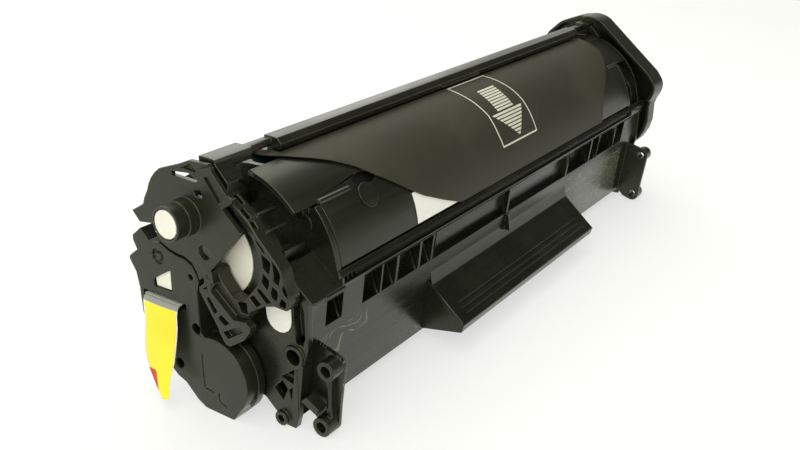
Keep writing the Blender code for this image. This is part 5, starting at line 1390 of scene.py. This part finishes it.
@dataclass
class RollerUnit:
    """Drum, rollers and the blades that meet them."""

    shop: Workshop

    def build(self) -> None:
        """Finishes the rollers, which keep their solids."""
        self.shop.repaint({
            "drum_tube": Slot.DRUM, "drum_hub": Slot.COVER, "developer_sleeve": Slot.SLEEVE,
            "magnet_core": Slot.STEEL, "charge_roller": Slot.RUBBER, "charge_core": Slot.STEEL,
            "charge_bearing_left": Slot.COVER, "charge_bearing_right": Slot.COVER,
            "developer_frame": Slot.HOUSING, "doctor_bracket": Slot.STEEL, "doctor_blade": Slot.BLADE,
        })


@dataclass
class DriveUnit:
    """The gears and the agitator."""

    shop: Workshop
    teeth: EdgeRounding = EdgeRounding(0.08 * MM)

    def build(self) -> None:
        """Dresses the gears and finishes the agitator."""
        gears = (("drum_gear", Body.DRUM), ("developer_gear", Body.DEVELOPER), ("idler_gear", Body.IDLER),
                 ("agitator_gear", Body.AGITATOR))
        for node, body in gears:
            self.shop.recast(node, node + "_moulding", body, Slot.GEAR, self.teeth)
        self.shop.repaint({"agitator_shaft": Slot.HOUSING, "agitator_film": Slot.FILM, "idler_pin": Slot.STEEL})


@dataclass(frozen=True)
class SoftLamp:
    """A square soft lamp that faces a point."""

    name: str
    place: Place
    size: float
    power: float
    colour: Colour = (1.0, 1.0, 0.97)

    def build(self, target: Vector) -> None:
        """Adds the lamp.

        Args:
            target: The point that it faces.
        """
        data = bpy.data.lights.new(self.name, "AREA")
        data.size = self.size
        data.energy = self.power
        data.color = self.colour
        obj = bpy.data.objects.new(self.name, data)
        obj.location = self.place
        obj.rotation_euler = (target - Vector(self.place)).to_track_quat("-Z", "Y").to_euler()
        bpy.context.scene.collection.objects.link(obj)


@dataclass
class Studio:
    """The pale floor and backdrop, the soft light and the photograph's viewpoint."""

    shop: Workshop
    target: Place = (0.0, 0.0, 0.045)
    reach: float = 3.0
    floor_squares: int = 8
    floor_colour: Colour = (0.90, 0.90, 0.86)
    glow_colour: Colour = (1.0, 1.0, 0.985)
    floor_glow: float = 0.62
    floor_sheen: float = 0.95
    sky: Colour = (1.0, 1.0, 0.93)
    sky_strength: float = 0.50
    sheen_light: float = 0.85
    sheen_dark: float = 0.10
    dark_side: Place = (0.81, -0.37, 0.46)
    dark_edges: Point = (0.70, 0.97)
    camera_place: Place = (-0.33962, -0.20709, 0.18954)
    camera_pitch: float = math.radians(67.140)
    camera_heading: float = math.radians(-54.845)
    focal_length: float = 41.47
    sensor: float = 36.0
    nearest: float = 0.01
    lamps: tuple[SoftLamp, ...] = (
        SoftLamp("key_lamp", (0.60, 0.95, 0.95), 1.4, 9.0),
        SoftLamp("left_lamp", (-0.9, -0.5, 0.8), 0.9, 7.0),
        SoftLamp("top_lamp", (-0.1, 0.25, 1.1), 0.9, 6.0),
    )

    def build(self) -> None:
        """Adds floor, world, lamps and camera."""
        self.floor()
        self.world()
        for lamp in self.lamps:
            lamp.build(Vector(self.target))
        self.camera()
        bpy.context.scene.view_settings.view_transform = "Standard"

    def floor(self) -> None:
        """The pale floor, which keeps the object's shadow."""
        mesh = bmesh.new()
        squares = self.floor_squares
        bmesh.ops.create_grid(mesh, x_segments=squares, y_segments=squares, size=self.reach)
        data = bpy.data.meshes.new("floor")
        mesh.to_mesh(data)
        mesh.free()
        material = bpy.data.materials.new("pale_floor")
        material.use_nodes = True
        graph = Graph(material.node_tree)
        material.node_tree.nodes.clear()
        seen = graph.node("LightPath")
        share = graph.maths("MAXIMUM", seen.outputs["Is Camera Ray"], seen.outputs["Is Transmission Ray"])
        sheen = graph.maths("MULTIPLY", seen.outputs["Is Glossy Ray"], self.floor_sheen)
        share = graph.maths("MAXIMUM", graph.maths("MULTIPLY", share, self.floor_glow), sheen)
        plain = graph.node("BsdfDiffuse", {"Color": (*self.floor_colour, 1.0)})
        glow = graph.node("Emission", {"Color": (*self.glow_colour, 1.0), "Strength": 1.0})
        mix = graph.node("MixShader", {0: share, 1: plain.outputs[0], 2: glow.outputs[0]})
        graph.node("OutputMaterial", {"Surface": mix.outputs[0]})
        data.materials.append(material)
        obj = bpy.data.objects.new("floor", data)
        bpy.context.scene.collection.objects.link(obj)
        obj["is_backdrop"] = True

    def world(self) -> None:
        """The pale surroundings, white where the camera sees them."""
        world = bpy.data.worlds.new("studio")
        world.use_nodes = True
        graph = Graph(world.node_tree)
        world.node_tree.nodes.clear()
        seen = graph.node("LightPath")
        light = graph.node("Background", {"Color": (*self.sky, 1.0), "Strength": self.sky_strength})
        white = graph.node("Background", {"Color": (1.0, 1.0, 1.0, 1.0), "Strength": 1.0})
        way = graph.node("VectorMath", {0: graph.place("Generated"), 1: self.dark_side}, operation="DOT_PRODUCT")
        dark = graph.ramp(way.outputs["Value"], *self.dark_edges)
        strength = graph.maths("MULTIPLY_ADD", dark, self.sheen_dark - self.sheen_light, self.sheen_light)
        sheen = graph.node("Background", {"Color": (*self.sky, 1.0), "Strength": strength})
        share = graph.maths("MAXIMUM", seen.outputs["Is Camera Ray"], seen.outputs["Is Transmission Ray"])
        mix = graph.node("MixShader", {0: share, 1: light.outputs[0], 2: white.outputs[0]})
        glossy = graph.node("MixShader", {0: seen.outputs["Is Glossy Ray"], 1: mix.outputs[0], 2: sheen.outputs[0]})
        graph.node("OutputWorld", {"Surface": glossy.outputs[0]})
        bpy.context.scene.world = world

    def camera(self) -> None:
        """The photograph's viewpoint."""
        data = bpy.data.cameras.new("viewpoint")
        data.lens = self.focal_length
        data.sensor_width = self.sensor
        data.clip_start = self.nearest
        obj = bpy.data.objects.new("viewpoint", data)
        obj.location = self.camera_place
        obj.rotation_euler = (self.camera_pitch, 0.0, self.camera_heading)
        bpy.context.scene.collection.objects.link(obj)
        bpy.context.scene.camera = obj


def corners() -> list[list[float]]:
    """The shown object's lowest and highest corners as plain numbers."""
    return [list(corner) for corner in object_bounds()]


def main() -> None:
    """Builds the dressed cartridge and its studio."""
    logging.basicConfig(level=logging.INFO, format="%(name)s: %(message)s")
    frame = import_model()
    shop = Workshop(frame["nodes"])
    for unit in (HopperUnit, WasteUnit, ShutterUnit, EndCovers, SealUnit, RollerUnit, DriveUnit, Studio):
        unit(shop).build()
        LOG.info("%s done", unit.__name__)
    LOG.info("%d pieces made", shop.made)


if __name__ == "__main__":
    main()
